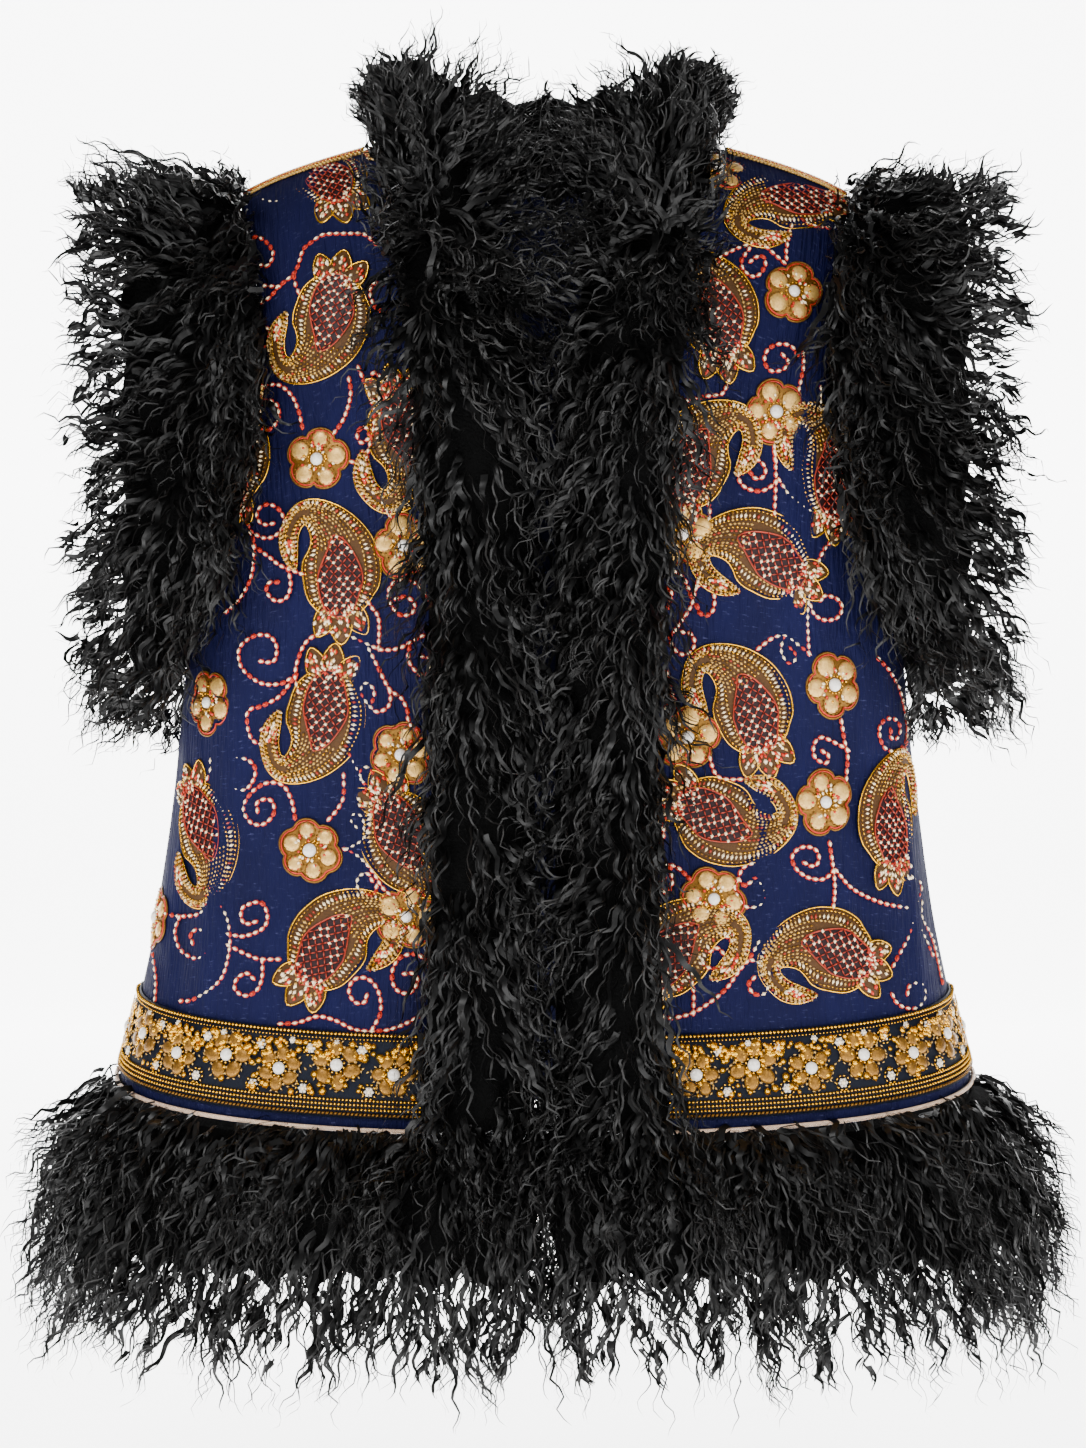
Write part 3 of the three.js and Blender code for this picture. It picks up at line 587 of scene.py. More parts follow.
# Dyed lamb's wool has a soft gloss along each strand, and the pelt below shows none
WOOL = Fur("curly_wool_black", "#040404", "#010101", 0.4, gloss=0.24)
PELT = Finish("wool_pelt_black", "#040404", "#010101", 0.9, grain_mm=6, gloss=0.05, relief_mm=4.0)
# Glass beads lined with gold glint sharply; threads wound with metal shine more softly
GOLD_BEAD = Finish("gold_lined_glass", "#ffc430", "#a06806", 0.18, metallic=0.9, grain_mm=2.0)
BRONZE = Finish("antique_gold_thread", "#98691c", "#341e04", 0.36, metallic=0.7, grain_mm=1.2)
# Silk under and beside the gold: sewn-down satin with a low sheen, its dark bronze partly painted shade
# for the gaps between beads
UNDERLAY_GAP_SHADE = Finish("bronze_underlay_gap_shade", "#4e300c", "#241404", 0.6, grain_mm=1.2, gloss=0.2)
# The stitches that catch most light, from pale gold to coral and cream
PALE_GOLD = Finish("pale_gold_thread", "#e0b968", "#94641e", 0.35, metallic=0.5, grain_mm=1.4)
CORAL = Finish("coral_silk_thread", "#c93218", "#8a160c", 0.45, grain_mm=2, gloss=0.3)
CREAM = Finish("cream_sequin", "#f8e8c6", "#dfc08c", 0.22, coat=0.5, grain_mm=3)
MAROON = Finish("maroon_silk_satin", "#200408", "#0c0103", 0.5, grain_mm=2, gloss=0.2)
COPPER = Finish("copper_red_bead", "#b83a1e", "#5c120a", 0.3, metallic=0.3, grain_mm=2)
PEARL = Finish("pearl_bead", "#efe9df", "#b5aca2", 0.2, coat=0.4, grain_mm=1.6)
# Cotton cord, wound from a light and a dark ply
PIPING = Twist("piping_cord_cream", "#fbe6cc", "#e2ab88", 0.5, grain_mm=1.6)
LOOP_CORD = Finish("loop_cord_black", "#2b2b30", "#1a1a1e", 0.7, grain_mm=1)
# White studio paper, lit so as to stay white
FLOOR = Finish("studio_paper_white", "#fbfbfb", "#f8f8f8", 0.9, grain_mm=400, glow=5.0)

NEEDLE_FINISHES = (GOLD_BEAD, BRONZE, UNDERLAY_GAP_SHADE, PALE_GOLD, CORAL, CREAM, MAROON, COPPER, PEARL)


class Mesh:
    """Arrays of points and triangles gathered for one piece."""

    def __init__(self, finishes: tuple[Finish, ...]) -> None:
        """Start an empty mesh that may use these finishes."""
        self.finishes = finishes
        self.points: list[Array] = []
        self.faces: list[Array] = []
        self.slots: list[Array] = []
        self.tones: list[Array] = []
        self.count = 0

    def add(self, points: Array, faces: Array, finish: Finish, tones: Array | None = None) -> None:
        """Add points with the triangles between them.

        Args:
            points: Rows of x, y and z in millimetres.
            faces: Rows of three point numbers.
            finish: The finish of these triangles.
            tones: A tone for each point, for finishes that read it.
        """
        self.points.append(points)
        self.faces.append(faces + self.count)
        self.slots.append(np.full(len(faces), self.finishes.index(finish), dtype=np.int32))
        self.tones.append(np.zeros(len(points)) if tones is None else tones)
        self.count += len(points)

    def stamp(self, shape: "Shape", places: Array, frames: Array, sizes: Array, finish: Finish) -> None:
        """Add a copy of a small shape at each place.

        Args:
            shape: The shape, a few dozen faces at most.
            places: Rows of x, y and z.
            frames: For each place its directions across, up and out.
            sizes: For each place its sizes across, up and out.
            finish: The finish of the copies.
        """
        if not len(places):
            return
        local = shape.points[None] * np.broadcast_to(sizes, (len(places), 3))[:, None]
        moved = np.einsum("nmk,nkj->nmj", local, frames) + places[:, None]
        shift = (np.arange(len(places)) * len(shape.points))[:, None, None]
        mirrored = np.linalg.det(frames[0]) < 0
        faces = shape.faces[:, ::-1] if mirrored else shape.faces
        self.add(moved.reshape(-1, 3), (faces[None] + shift).reshape(-1, 3), finish)

    def build(self, name: str) -> Piece:
        """Make the Blender object, at the origin, with its place in its mesh."""
        mesh = bpy.data.meshes.new(name)
        points = np.concatenate(self.points) * MM
        faces = np.concatenate(self.faces)
        mesh.vertices.add(len(points))
        mesh.vertices.foreach_set("co", points.astype(np.float32).ravel())
        mesh.loops.add(faces.size)
        mesh.loops.foreach_set("vertex_index", faces.astype(np.int32).ravel())
        mesh.polygons.add(len(faces))
        mesh.polygons.foreach_set("loop_start", np.arange(0, faces.size, 3, dtype=np.int32))
        mesh.polygons.foreach_set("material_index", np.concatenate(self.slots))
        mesh.polygons.foreach_set("use_smooth", np.full(len(faces), True))
        tone = mesh.attributes.new("tone", "FLOAT", "POINT")
        tone.data.foreach_set("value", np.concatenate(self.tones).astype(np.float32))
        for finish in self.finishes:
            mesh.materials.append(finish.material())
        mesh.update(calc_edges=True)
        return linked(name, mesh)


@dataclass(frozen=True)
class Shape:
    """A small closed shape that is stamped many times."""

    points: Array
    faces: Array

    @staticmethod
    def of(bm: bmesh.types.BMesh) -> "Shape":
        """Take the triangles of a bmesh, which is freed."""
        bmesh.ops.triangulate(bm, faces=bm.faces[:])
        bmesh.ops.recalc_face_normals(bm, faces=bm.faces[:])
        bm.verts.index_update()
        points = np.array([vertex.co[:] for vertex in bm.verts])
        faces = np.array([[vertex.index for vertex in face.verts] for face in bm.faces])
        bm.free()
        return Shape(points, faces)

    @staticmethod
    def ball(subdivisions: int) -> "Shape":
        """Return a ball of radius one, smoother with more subdivisions."""
        bm = bmesh.new()
        bmesh.ops.create_icosphere(bm, subdivisions=subdivisions, radius=1)
        return Shape.of(bm)

    @staticmethod
    def sequin(sides: int = 6) -> "Shape":
        """Return a shallow faceted disc of radius one."""
        bm = bmesh.new()
        ring = bmesh.ops.create_circle(bm, segments=sides, radius=1)["verts"]
        for height in (1.0, -1.0):
            tip = bm.verts.new((0, 0, height))
            for i, vertex in enumerate(ring):
                bm.faces.new((vertex, ring[(i + 1) % sides], tip))
        return Shape.of(bm)

    @staticmethod
    def link() -> "Shape":
        """Return a flat chain link, an oval ring of half length one."""
        width = 0.34
        bm = bmesh.new()
        profile = bmesh.ops.create_circle(bm, segments=3, radius=width)["verts"]
        turn = [vertex.co.copy() for vertex in profile]
        for vertex, start in zip(profile, turn):
            vertex.co = Vector((1 - width + start.x, 0, start.y))
        edges = list({edge for vertex in profile for edge in vertex.link_edges})
        bmesh.ops.spin(bm, geom=edges, cent=(0, 0, 0), axis=(0, 0, 1), angle=math.tau, steps=6,
                       use_merge=True)
        bmesh.ops.remove_doubles(bm, verts=bm.verts[:], dist=1e-4)
        return Shape.of(bm)


BEAD, BALL, SEQUIN, LINK = Shape.ball(1), Shape.ball(2), Shape.sequin(), Shape.link()
# The smallest beads are eight-sided
GRAIN = Shape.sequin(4)


def tube_faces(rings: int, sides: int, closed: bool) -> Array:
    """List the triangles of a tube whose points run ring by ring.

    Args:
        rings: How many rings it has.
        sides: How many points each ring has.
        closed: Whether the last ring joins the first; if not, both ends are capped.

    Returns:
        Rows of three point numbers.
    """
    count = rings if closed else rings - 1
    i = np.repeat(np.arange(count), sides)
    k = np.tile(np.arange(sides), count)
    j, n = (i + 1) % rings, (k + 1) % sides
    a, b, c, d = i * sides + k, i * sides + n, j * sides + n, j * sides + k
    faces = np.concatenate([np.stack([a, b, c], 1), np.stack([a, c, d], 1)])
    if closed:
        return faces
    fan = np.arange(1, sides - 1)
    last = (rings - 1) * sides
    start = np.stack([0 * fan, fan + 1, fan], 1)
    end = np.stack([0 * fan + last, last + fan, last + fan + 1], 1)
    return np.concatenate([faces, start, end])


def add_tube(mesh: Mesh, points: Array, outs: Array, radius: float, finish: Finish, sides: int,
             closed: bool = False) -> None:
    """Add a cord that follows a line of points on the cloth.

    Args:
        mesh: The mesh that gets it.
        points: Rows of x, y and z along the cord.
        outs: The cloth's outward direction at each point.
        radius: The cord's radius.
        finish: Its finish.
        sides: How many sides it has.
        closed: Whether it runs back into its start.
    """
    if closed:
        along = np.roll(points, -1, axis=0) - np.roll(points, 1, axis=0)
    else:
        along = np.gradient(points, axis=0)
    side = unit(np.cross(unit(along), outs))
    turn = np.arange(sides) * math.tau / sides
    ring = side[:, None] * np.cos(turn)[None, :, None] + outs[:, None] * np.sin(turn)[None, :, None]
    body = points[:, None] + ring * radius
    mesh.add(body.reshape(-1, 3), tube_faces(len(points), sides, closed)[:, ::-1], finish)


def smooth_line(controls: Array, step: float) -> Array:
    """Draw an even line of points through a few control points.

    Args:
        controls: Rows of control points.
        step: The distance from one point to the next.

    Returns:
        Rows of points.
    """
    controls = np.asarray(controls, float)
    ends = [2 * controls[0] - controls[1], *controls, 2 * controls[-1] - controls[-2]]
    dense = []
    for a, b, c, d in zip(ends, ends[1:], ends[2:], ends[3:]):
        t = np.linspace(0, 1, 16, endpoint=False)[:, None]
        curve = 2 * b + (c - a) * t + (2 * a - 5 * b + 4 * c - d) * t ** 2
        dense.append((curve + (3 * b - a - 3 * c + d) * t ** 3) / 2)
    line = np.concatenate([*dense, controls[-1:]])
    run = running(line)
    even = np.linspace(0, run[-1], max(int(round(run[-1] / step)), 2) + 1)
    return np.stack([np.interp(even, run, line[:, k]) for k in range(line.shape[1])], axis=1)


# Cloth


@dataclass(frozen=True)
class Crease:
    """A soft trough or ridge in the cloth, placed as listed.

    It starts at a distance round the body, drifts across by its lean, and is
    a trough where its height is below zero.
    """

    arc: float
    top: float
    bottom: float
    lean: float
    width: float
    height: float

    def lift(self, arc: Array, z: Array) -> Array:
        """Return how far the crease moves the cloth out at places on it."""
        share = np.clip((self.top - z) / (self.top - self.bottom), 0, 1)
        across = (arc - self.arc - self.lean * share) / self.width
        return self.height * ease(0, 0.3, share) * (1 - ease(0.6, 1, share)) * np.exp(-across ** 2)


@dataclass(frozen=True)
class Panel:
    """One of the three panels that the gilet is cut from, as a surface."""

    side: int
    lift: float = 0.0

    @property
    def facing(self) -> Facing:
        """The half of the body that the panel covers."""
        return Facing.FRONT if self.side else Facing.BACK

    def surface(self, s: Array, v: Array) -> Array:
        """Find points of the panel, s running from 0 to 1 across it."""
        s, v = paired(s, v)
        if self.side:
            return BODY.front(self.side, s, v)
        return BODY.back(2 * s - 1, v)

    def frames(self, s: Array, v: Array) -> tuple[Array, Array]:
        """Find points of the panel with their directions across, up and out."""
        step = 0.002
        s, v = paired(s, v)
        left, right = np.clip(s - step, 0, 1), np.clip(s + step, 0, 1)
        high, low = np.clip(v - step, 0.001, 1), np.clip(v + step, 0.001, 1)
        across = unit(self.surface(right, v) - self.surface(left, v))
        up = self.surface(s, high) - self.surface(s, low)
        out = unit(np.cross(across, up))
        here = self.surface(s, v)
        inward = (out[..., 1] * self.facing.value) < 0
        mostly = np.mean(inward) > 0.5
        out = -out if mostly else out
        across = -across if mostly else across
        return here + out * self.lift, np.stack([across, np.cross(out, across), out], axis=-2)

    def above_hem(self, height: Array) -> Array:
        """Return the share down the panel at a height above its hem."""
        length = BODY.chest_z - (BODY.hem_side_z - BODY.hem_drop)
        return 1 - np.asarray(height, float) * (1 - BODY.yoke_share) / length


# How far from the middle a front's map starts, as its edge does near the hem
BAND_SEAM_X = 70


def sheet_object(name: str, panel: Panel, columns: int, rows: int, top: float, bottom: float,
                 lift, finishes: tuple[Finish, ...], thickness: float) -> Piece:
    """Make a thin shell of cloth on a panel.

    Args:
        name: The piece's name.
        panel: The surface that it follows.
        columns: Faces across.
        rows: Faces down.
        top: The share down the panel where it starts.
        bottom: The share where it ends.
        lift: A function of distance round, height and share across that gives its relief.
        finishes: The finish outside and, if there is a second, inside.
        thickness: Its thickness, which goes inwards.

    Returns:
        The object, with the cut's own map in millimetres and its flat size kept on it.
    """
    bm = bmesh.new()
    bmesh.ops.create_grid(bm, x_segments=columns, y_segments=rows, size=0.5)
    bm.verts.ensure_lookup_table()
    cells = np.array([vertex.co[:2] for vertex in bm.verts]) + 0.5
    order = np.lexsort((cells[:, 0].round(5), -cells[:, 1].round(5)))
    s = cells[order, 0].reshape(rows + 1, columns + 1)
    v = mix(top, bottom, 1 - cells[order, 1]).reshape(rows + 1, columns + 1)
    points, frames = panel.frames(s, v)
    wide = np.linalg.norm(np.diff(points, axis=1), axis=2)
    tall = np.linalg.norm(np.diff(points, axis=0), axis=2)
    across = np.concatenate([np.zeros((rows + 1, 1)), np.cumsum(wide, axis=1)], axis=1)
    if panel.side < 0:
        across = -across
    if panel.side == 0:
        across = across - across[:, columns // 2:columns // 2 + 1]
    else:
        across = across + panel.side * BAND_SEAM_X
    down = np.concatenate([np.zeros((1, columns + 1)), np.cumsum(tall, axis=0)], axis=0)
    area = float((wide[:-1] * tall[:, :-1]).sum())
    raised = points + frames[..., 2, :] * lift(across, points[..., 2], s)[..., None]
    flat_points, flat_out = raised.reshape(-1, 3), frames[..., 2, :].reshape(-1, 3)
    for rank, index in enumerate(order):
        bm.verts[index].co = flat_points[rank] * MM
    bm.normal_update()
    agree = sum(face.normal.dot(Vector(flat_out[order.argsort()[face.verts[0].index]]))
                for face in bm.faces)
    if agree < 0:
        bmesh.ops.reverse_faces(bm, faces=bm.faces[:])
    uv = bm.loops.layers.uv.new("cut")
    place = np.empty((len(order), 2))
    place[order, 0], place[order, 1] = across.ravel(), -down.ravel()
    for face in bm.faces:
        face.smooth = True
        for loop in face.loops:
            loop[uv].uv = place[loop.vert.index]
    mesh = bpy.data.meshes.new(name)
    bm.to_mesh(mesh)
    bm.free()
    piece = linked(name, mesh)
    for finish in finishes:
        mesh.materials.append(finish.material())
    shell = piece.modifiers.new("thickness", "SOLIDIFY")
    shell.thickness, shell.offset = thickness * MM, -1
    shell.use_even_offset = False
    shell.material_offset = len(finishes) - 1
    piece["cut_width"], piece["cut_length"] = float(wide.sum(axis=1).max()), float(tall.sum(axis=0).max())
    piece["cut_area"] = area
    return piece


@dataclass(frozen=True)
class ClothPanel:
    """A panel of crinkled crepe with its creases."""

    node: str
    panel: Panel
    creases: tuple[Crease, ...]
    columns: int
    rows: int
    pucker_height: float = 0.45
    pucker_pitch: float = 19.0
    flat_top: tuple[float, float] = (-8, -30)
    flat_hem: tuple[float, float] = (-640, -600)
    thickness: float = 2.0

    def relief(self, arc: Array, z: Array, s: Array) -> Array:
        """Return how far puckers and creases move the cloth out."""
        wander = np.sin(z / 60) + 0.7 * np.sin(z / 23 + arc / 31)
        pucker = 0.5 + 0.5 * np.sin(math.tau * arc / self.pucker_pitch + wander)
        lift = self.pucker_height * pucker
        for crease in self.creases:
            lift = lift + crease.lift(arc, z)
        edges = ease(0, 0.06, s) * (1 - ease(0.94, 1, s))
        return lift * edges * ease(*self.flat_top, z) * ease(*self.flat_hem, z)

    def build(self) -> Piece:
        """Build the panel's shell."""
        return sheet_object(self.node, self.panel, self.columns, self.rows, 0.0, 1.0, self.relief,
                            (CREPE, CREPE_INSIDE), self.thickness)

    def dress(self) -> Piece:
        """Build the panel in place of its solid."""
        piece = self.build()
        piece.name = self.node + "_cloth"
        return settle(piece, self.node)


# Needlework


# The length of one chain stitch
CHAIN_PITCH = 4.6
# A seed bead's half sizes along its row, across it and upwards
SEED = (0.9, 1.35, 0.9)


class Kind(Enum):
    """The two kinds of embroidered motif."""

    PAISLEY = 1
    FLOWER = 2


@dataclass(frozen=True)
class Motif:
    """One motif: its middle as seen from the front, its tilt and the side of its hook."""

    kind: Kind
    x: float
    z: float
    tilt: float = 0.0
    hook: int = 1


@dataclass(frozen=True)
class Vine:
    """A stem of chain stitch through a few points that may end in a scroll.

    The scroll turns round its eye; a hand of 1 turns it against the clock.
    """

    stem: Array
    eye: tuple[float, float] | None = None
    hand: int = 1
    turns: float = 1.35

    def line(self) -> Array:
        """Return even points along the vine, as rows of x and z."""
        stem = np.asarray(self.stem, float)
        if self.eye is None:
            return smooth_line(stem, CHAIN_PITCH)
        arm = stem[-1] - np.array(self.eye)
        radius, start = float(np.hypot(*arm)), math.atan2(arm[1], arm[0])
        turn = np.linspace(0, self.turns, 15)[1:]
        angle = start + self.hand * math.tau * turn
        reach = radius * (1 - 0.78 * (turn / self.turns) ** 0.8)
        scroll = rows(np.cos(angle), np.sin(angle)) * reach[:, None] + self.eye
        return smooth_line(np.concatenate([stem, scroll]), CHAIN_PITCH)


class Needlework:
    """The embroidery on one panel, gathered as one joined mesh."""

    cord_sides = 3
    flower_radius = 20.5
    front_pitch = 2.85
    back_pitch = 8.0
    near_seam = -90.0
    seam_room = 4.0
    edge_room = 2.0

    def __init__(self, panel: Panel, seed: int) -> None:
        """Start the embroidery of a panel with its own seed."""
        self.facing = panel.facing
        self.pitch = self.front_pitch if panel.side else self.back_pitch
        self.mesh = Mesh(NEEDLE_FINISHES)
        self.rng = np.random.default_rng(seed)

    def locate(self, x: Array, z: Array) -> tuple[Array, Array]:
        """Turn places seen from the front into distances along the cloth.

        Args:
            x: Distances from the middle.
            z: Heights.

        Returns:
            Distances round the body, and heights as Body.place takes them.
        """
        x, z = np.asarray(x, float), np.asarray(z, float)
        crown = BODY.shoulder_z(x)
        turn = np.arcsin(np.clip((z - BODY.chest_z) / (crown - BODY.chest_z), 0, 0.98))
        rounding = np.cos(turn)
        angles = np.linspace(0, 1, 30) * BODY.angle_of(np.abs(x) / BODY.half_width.at(z))[:, None]
        steps = BODY.point(angles, z[:, None] + 0 * angles, self.facing, rounding[:, None])
        arc = np.linalg.norm(np.diff(steps, axis=1), axis=2).sum(axis=1) * np.sign(x)
        part = np.linspace(0, 1, 30) * turn[:, None]
        high = (crown - BODY.chest_z)[:, None]
        reach = BODY.depth_over(x, z, self.facing)
        pace = np.hypot(high * np.cos(part), reach[:, None] * np.sin(part))
        climb = ((pace[:, 1:] + pace[:, :-1]) / 2 * np.diff(part, axis=1)).sum(axis=1)
        return arc, np.where(z > BODY.chest_z, BODY.chest_z + climb, z)

    def local(self, motif: Motif, u: Array, w: Array) -> tuple[Array, Array]:
        """Find places of a motif from its own across and up.

        Args:
            motif: The motif.
            u: Distances across it.
            w: Distances up it.

        Returns:
            Points and their directions, turned with the motif.
        """
        tilt = math.radians(motif.tilt)
        across, up = rotated(u, w, tilt)
        arc, drop = self.locate(np.array([motif.x]), np.array([motif.z]))
        high = drop[0] + up
        if motif.z > self.near_seam:
            x = motif.x + across
            high = np.minimum(high, self.locate(x, BODY.shoulder_z(x) - self.seam_room)[1])
        points, frames = BODY.frames(self.trimmed(arc[0] + across, motif.z + up), high, self.facing)
        return points, self.turned(frames, tilt)

    def trimmed(self, arc: Array, z: Array) -> Array:
        """Keep distances round the body within the panel's cut edges."""
        inner = 0.0 * z
        if self.facing is Facing.FRONT:
            inner = self.locate(BODY.front_edge.at(z) + self.edge_room, z)[0]
        outer = self.locate(BODY.armhole.at(z) * BODY.half_width.at(z) - self.edge_room, z)[0]
        return np.sign(arc) * np.clip(np.abs(arc), inner, np.maximum(outer, inner))

    @staticmethod
    def turned(frames: Array, angle: Array) -> Array:
        """Turn directions about the outward one."""
        angle = np.broadcast_to(angle, len(frames))
        cos, sin = np.cos(angle)[:, None], np.sin(angle)[:, None]
        across = frames[:, 0] * cos + frames[:, 1] * sin
        up = frames[:, 1] * cos - frames[:, 0] * sin
        return np.stack([across, up, frames[:, 2]], axis=1)

    def patch(self, motif: Motif, u: Array, w: Array, lift: Array, finish: Finish) -> None:
        """Add a grid of cloth or thread that is raised off the panel.

        Args:
            motif: The motif that it belongs to.
            u: Grid of distances across.
            w: Grid of distances up.
            lift: Grid of heights off the cloth.
            finish: Its finish.
        """
        rows, columns = u.shape
        points, frames = self.local(motif, u.ravel(), w.ravel())
        points = points + frames[:, 2] * lift.ravel()[:, None]
        i, k = np.meshgrid(np.arange(rows - 1), np.arange(columns - 1), indexing="ij")
        a = (i * columns + k).ravel()
        faces = np.concatenate([np.stack([a, a + 1, a + columns + 1], 1),
                                np.stack([a, a + columns + 1, a + columns], 1)])
        first = points[faces]
        normal = np.cross(first[:, 1] - first[:, 0], first[:, 2] - first[:, 0])
        if (normal * frames[faces[:, 0], 2]).sum() < 0:
            faces = faces[:, ::-1]
        self.mesh.add(points, faces, finish)

    def cord(self, motif: Motif, u: Array, w: Array, lift: float, radius: float,
             finish: Finish) -> None:
        """Add a closed cord of thread round a form of a motif."""
        points, frames = self.local(motif, u, w)
        outs = frames[:, 2]
        add_tube(self.mesh, points + outs * lift, outs, radius, finish, self.cord_sides, True)

    def beads(self, motif: Motif, u: Array, w: Array, lift: float, size: tuple, finish: Finish,
              shape: Shape, turn: Array = 0.0) -> None:
        """Add beads or sequins at places of a motif."""
        points, frames = self.local(motif, u, w)
        jitter = self.rng.uniform(0.9, 1.1, (len(points), 1))
        self.mesh.stamp(shape, points + frames[:, 2] * lift, self.turned(frames, turn),
                        np.array(size)[None] * jitter, finish)

    def flower(self, motif: Motif) -> None:
        """Stitch a flower of satin petals round a beaded middle and a pearl."""
        radius = self.flower_radius
        petals = 6 if int(abs(motif.x)) % 3 == 0 else 5
        turn = round_turn(50)
        lobe = np.abs(np.cos(turn * petals / 2))
        rim = radius * (0.8 + 0.2 * lobe ** 0.6) * (1 + 0.05 * np.sin(2 * turn + motif.x))
        cloth = np.linspace(0.02, 1, 4)[:, None]
        close, edge = np.append(turn, math.tau), np.append(rim, rim[0])
        dome = 1.4 * (1 - cloth ** 3) + 0 * close
        self.patch(motif, *polar(cloth * edge, close), dome + 0.1, BRONZE)
        self.cord(motif, *polar(rim, turn), 0.8, 0.75, BRONZE)
        self.cord(motif, *polar(rim * 0.93, turn), 1.1, 0.7, CORAL)
        heads = round_turn(petals)
        size = radius * (0.27 if petals == 5 else 0.235)
        self.beads(motif, *polar(radius * 0.62, heads), 1.2, (size * 1.14, size * 1.08, 1.5),
                   PALE_GOLD, BALL, heads)
        for reach, finish in ((size * 1.14, BRONZE), (size * 0.84, CORAL), (size * 0.48, GOLD_BEAD)):
            self.petal_rows(motif, heads, radius * 0.62, reach, finish)
        self.middle(motif, radius)

    def petal_rows(self, motif: Motif, heads: Array, out: float, reach: float,
                   finish: Finish) -> None:
        """Lay short stitches in an arc round each petal of a flower."""
        spread = np.linspace(-2.3, 2.3, max(int(reach * 4.6 / self.pitch), 5))
        turn = (heads[:, None] + spread[None, :]).ravel()
        centre = np.repeat(heads, len(spread))
        u = out * np.cos(centre) + reach * np.cos(turn)
        w = out * np.sin(centre) + reach * np.sin(turn)
        self.beads(motif, u, w, 1.7, (0.55, 1.25, 0.8), finish, GRAIN, turn)

    def middle(self, motif: Motif, radius: float) -> None:
        """Sew mixed beads round a pearl in the middle of a flower."""
        count = int(80 / self.pitch)
        turn = self.rng.uniform(0, math.tau, count)
        out = radius * self.rng.uniform(0.28, 0.56, count)
        u, w = polar(out, turn)
        finish = np.arange(count) % 5
        for pick, tone in ((finish < 2, CREAM), (finish == 2, GOLD_BEAD), (finish > 2, CORAL)):
            self.beads(motif, u[pick], w[pick], 2.4, (1.5, 1.1, 0.9), tone, GRAIN, turn[pick])
        ring = round_turn(14)
        self.beads(motif, *polar(radius * 0.27, ring), 2.3, (0.7, 1.2, 0.8), GOLD_BEAD, GRAIN, ring)
        self.beads(motif, np.zeros(1), np.zeros(1), 2.3, (4.1, 4.1, 2.6), PEARL, BALL)

    def paisley(self, motif: Motif) -> None:
        """Stitch a paisley: a beaded rim round a dark latticed heart, with crown and hook."""
        h = motif.hook
        spine = smooth_line([
            (0, 31, 2), (0, 28, 12), (0, 22, 18.5), (0, 14, 23), (-h, 5, 25.5), (-h, -4, 25.5),
            (0, -14, 22.5), (4 * h, -24, 17), (11 * h, -32, 12), (19 * h, -36, 8.5),
            (26 * h, -34.5, 6.6), (31 * h, -28, 6.2), (33.5 * h, -20, 6.4), (33 * h, -12, 5.6),
            (31 * h, -5, 3.4), (29.5 * h, -1, 0.8)], 3.7)
        along = np.gradient(spine[:, :2], axis=0)
        side = unit(np.stack([-along[:, 1], along[:, 0]], axis=1))
        width = spine[:, 2:3]
        share = np.linspace(-1, 1, 9)[None, :, None]
        grid = spine[:, None, :2] + side[:, None] * width[:, None] * share
        rise = 1.9 * (1 - np.abs(share[..., 0]) ** 2.5) * np.minimum(width / 8, 1)
        # The underlay's dark bronze shows between the bead rows, partly as painted shade
        self.patch(motif, grid[..., 0], grid[..., 1], rise + 0.1, UNDERLAY_GAP_SHADE)
        self.rim(motif, spine[:, :2], side * width, 0.8, 0.8, GOLD_BEAD)
        self.band(motif, spine, side, width)
        self.heart(motif, spine, side, width)
        self.crown(motif)

    def rim(self, motif: Motif, line: Array, half: Array, lift: float, radius: float,
            finish: Finish) -> None:
        """Lay a cord round a form, at half its width on either side of its middle line."""
        edge = np.concatenate([line + half, (line - half)[::-1]])
        edge = smooth_line(np.concatenate([edge, edge[:1]]), 3.0)[:-1]
        self.cord(motif, edge[:, 0], edge[:, 1], lift, radius, finish)

    def band(self, motif: Motif, spine: Array, side: Array, width: Array) -> None:
        """Fill the rim of a paisley with rows of gold beads and cream sequins."""
        broad = np.where(width > 9, 1.0, 0.0)
        past = int(len(spine) * 0.43)
        for way in (1, -1):
            rows = ((0.9, 0.0, 0, (0.8, 1.35, 0.9), (GOLD_BEAD, GOLD_BEAD, BRONZE)),
                    (0.75, 0.45, 0, (2.0, 0.95, 1.0), (CREAM, CREAM, PALE_GOLD, COPPER, CREAM)),
                    (0.63, 0.1, 0, (0.9, 1.4, 0.9), (PALE_GOLD, GOLD_BEAD)),
                    (0.49, 0.3, past, SEED, (PALE_GOLD, PALE_GOLD, BRONZE)),
                    (0.36, 0.2, past, SEED, (PALE_GOLD, GOLD_BEAD)),
                    (0.23, 0.5, past, SEED, (PALE_GOLD, PALE_GOLD, COPPER)),
                    (0.09, 0.1, past, SEED, (PALE_GOLD, BRONZE)))
            for share, narrow, first, size, tones in rows:
                reach = share * broad + narrow * (1 - broad) + (1 - broad) * 0.3
                edge = np.concatenate([spine[:, :2] + side * width * way * reach, side * way], axis=1)
                edge = edge[first:]
                line = smooth_line(edge, self.pitch)
                turn = np.arctan2(line[:, 3], line[:, 2])
                points, frames = self.local(motif, line[:, 0], line[:, 1])
                jitter = self.rng.uniform(0.8, 1.15, (len(turn), 1))
                tone = self.rng.integers(0, len(tones), len(turn))
                turned = self.turned(frames, turn)
                for number, finish in enumerate(tones):
                    pick = tone == number
                    self.mesh.stamp(GRAIN, (points + frames[:, 2] * (2.5 - share))[pick],
                                    turned[pick], (np.array(size) * jitter)[pick], finish)

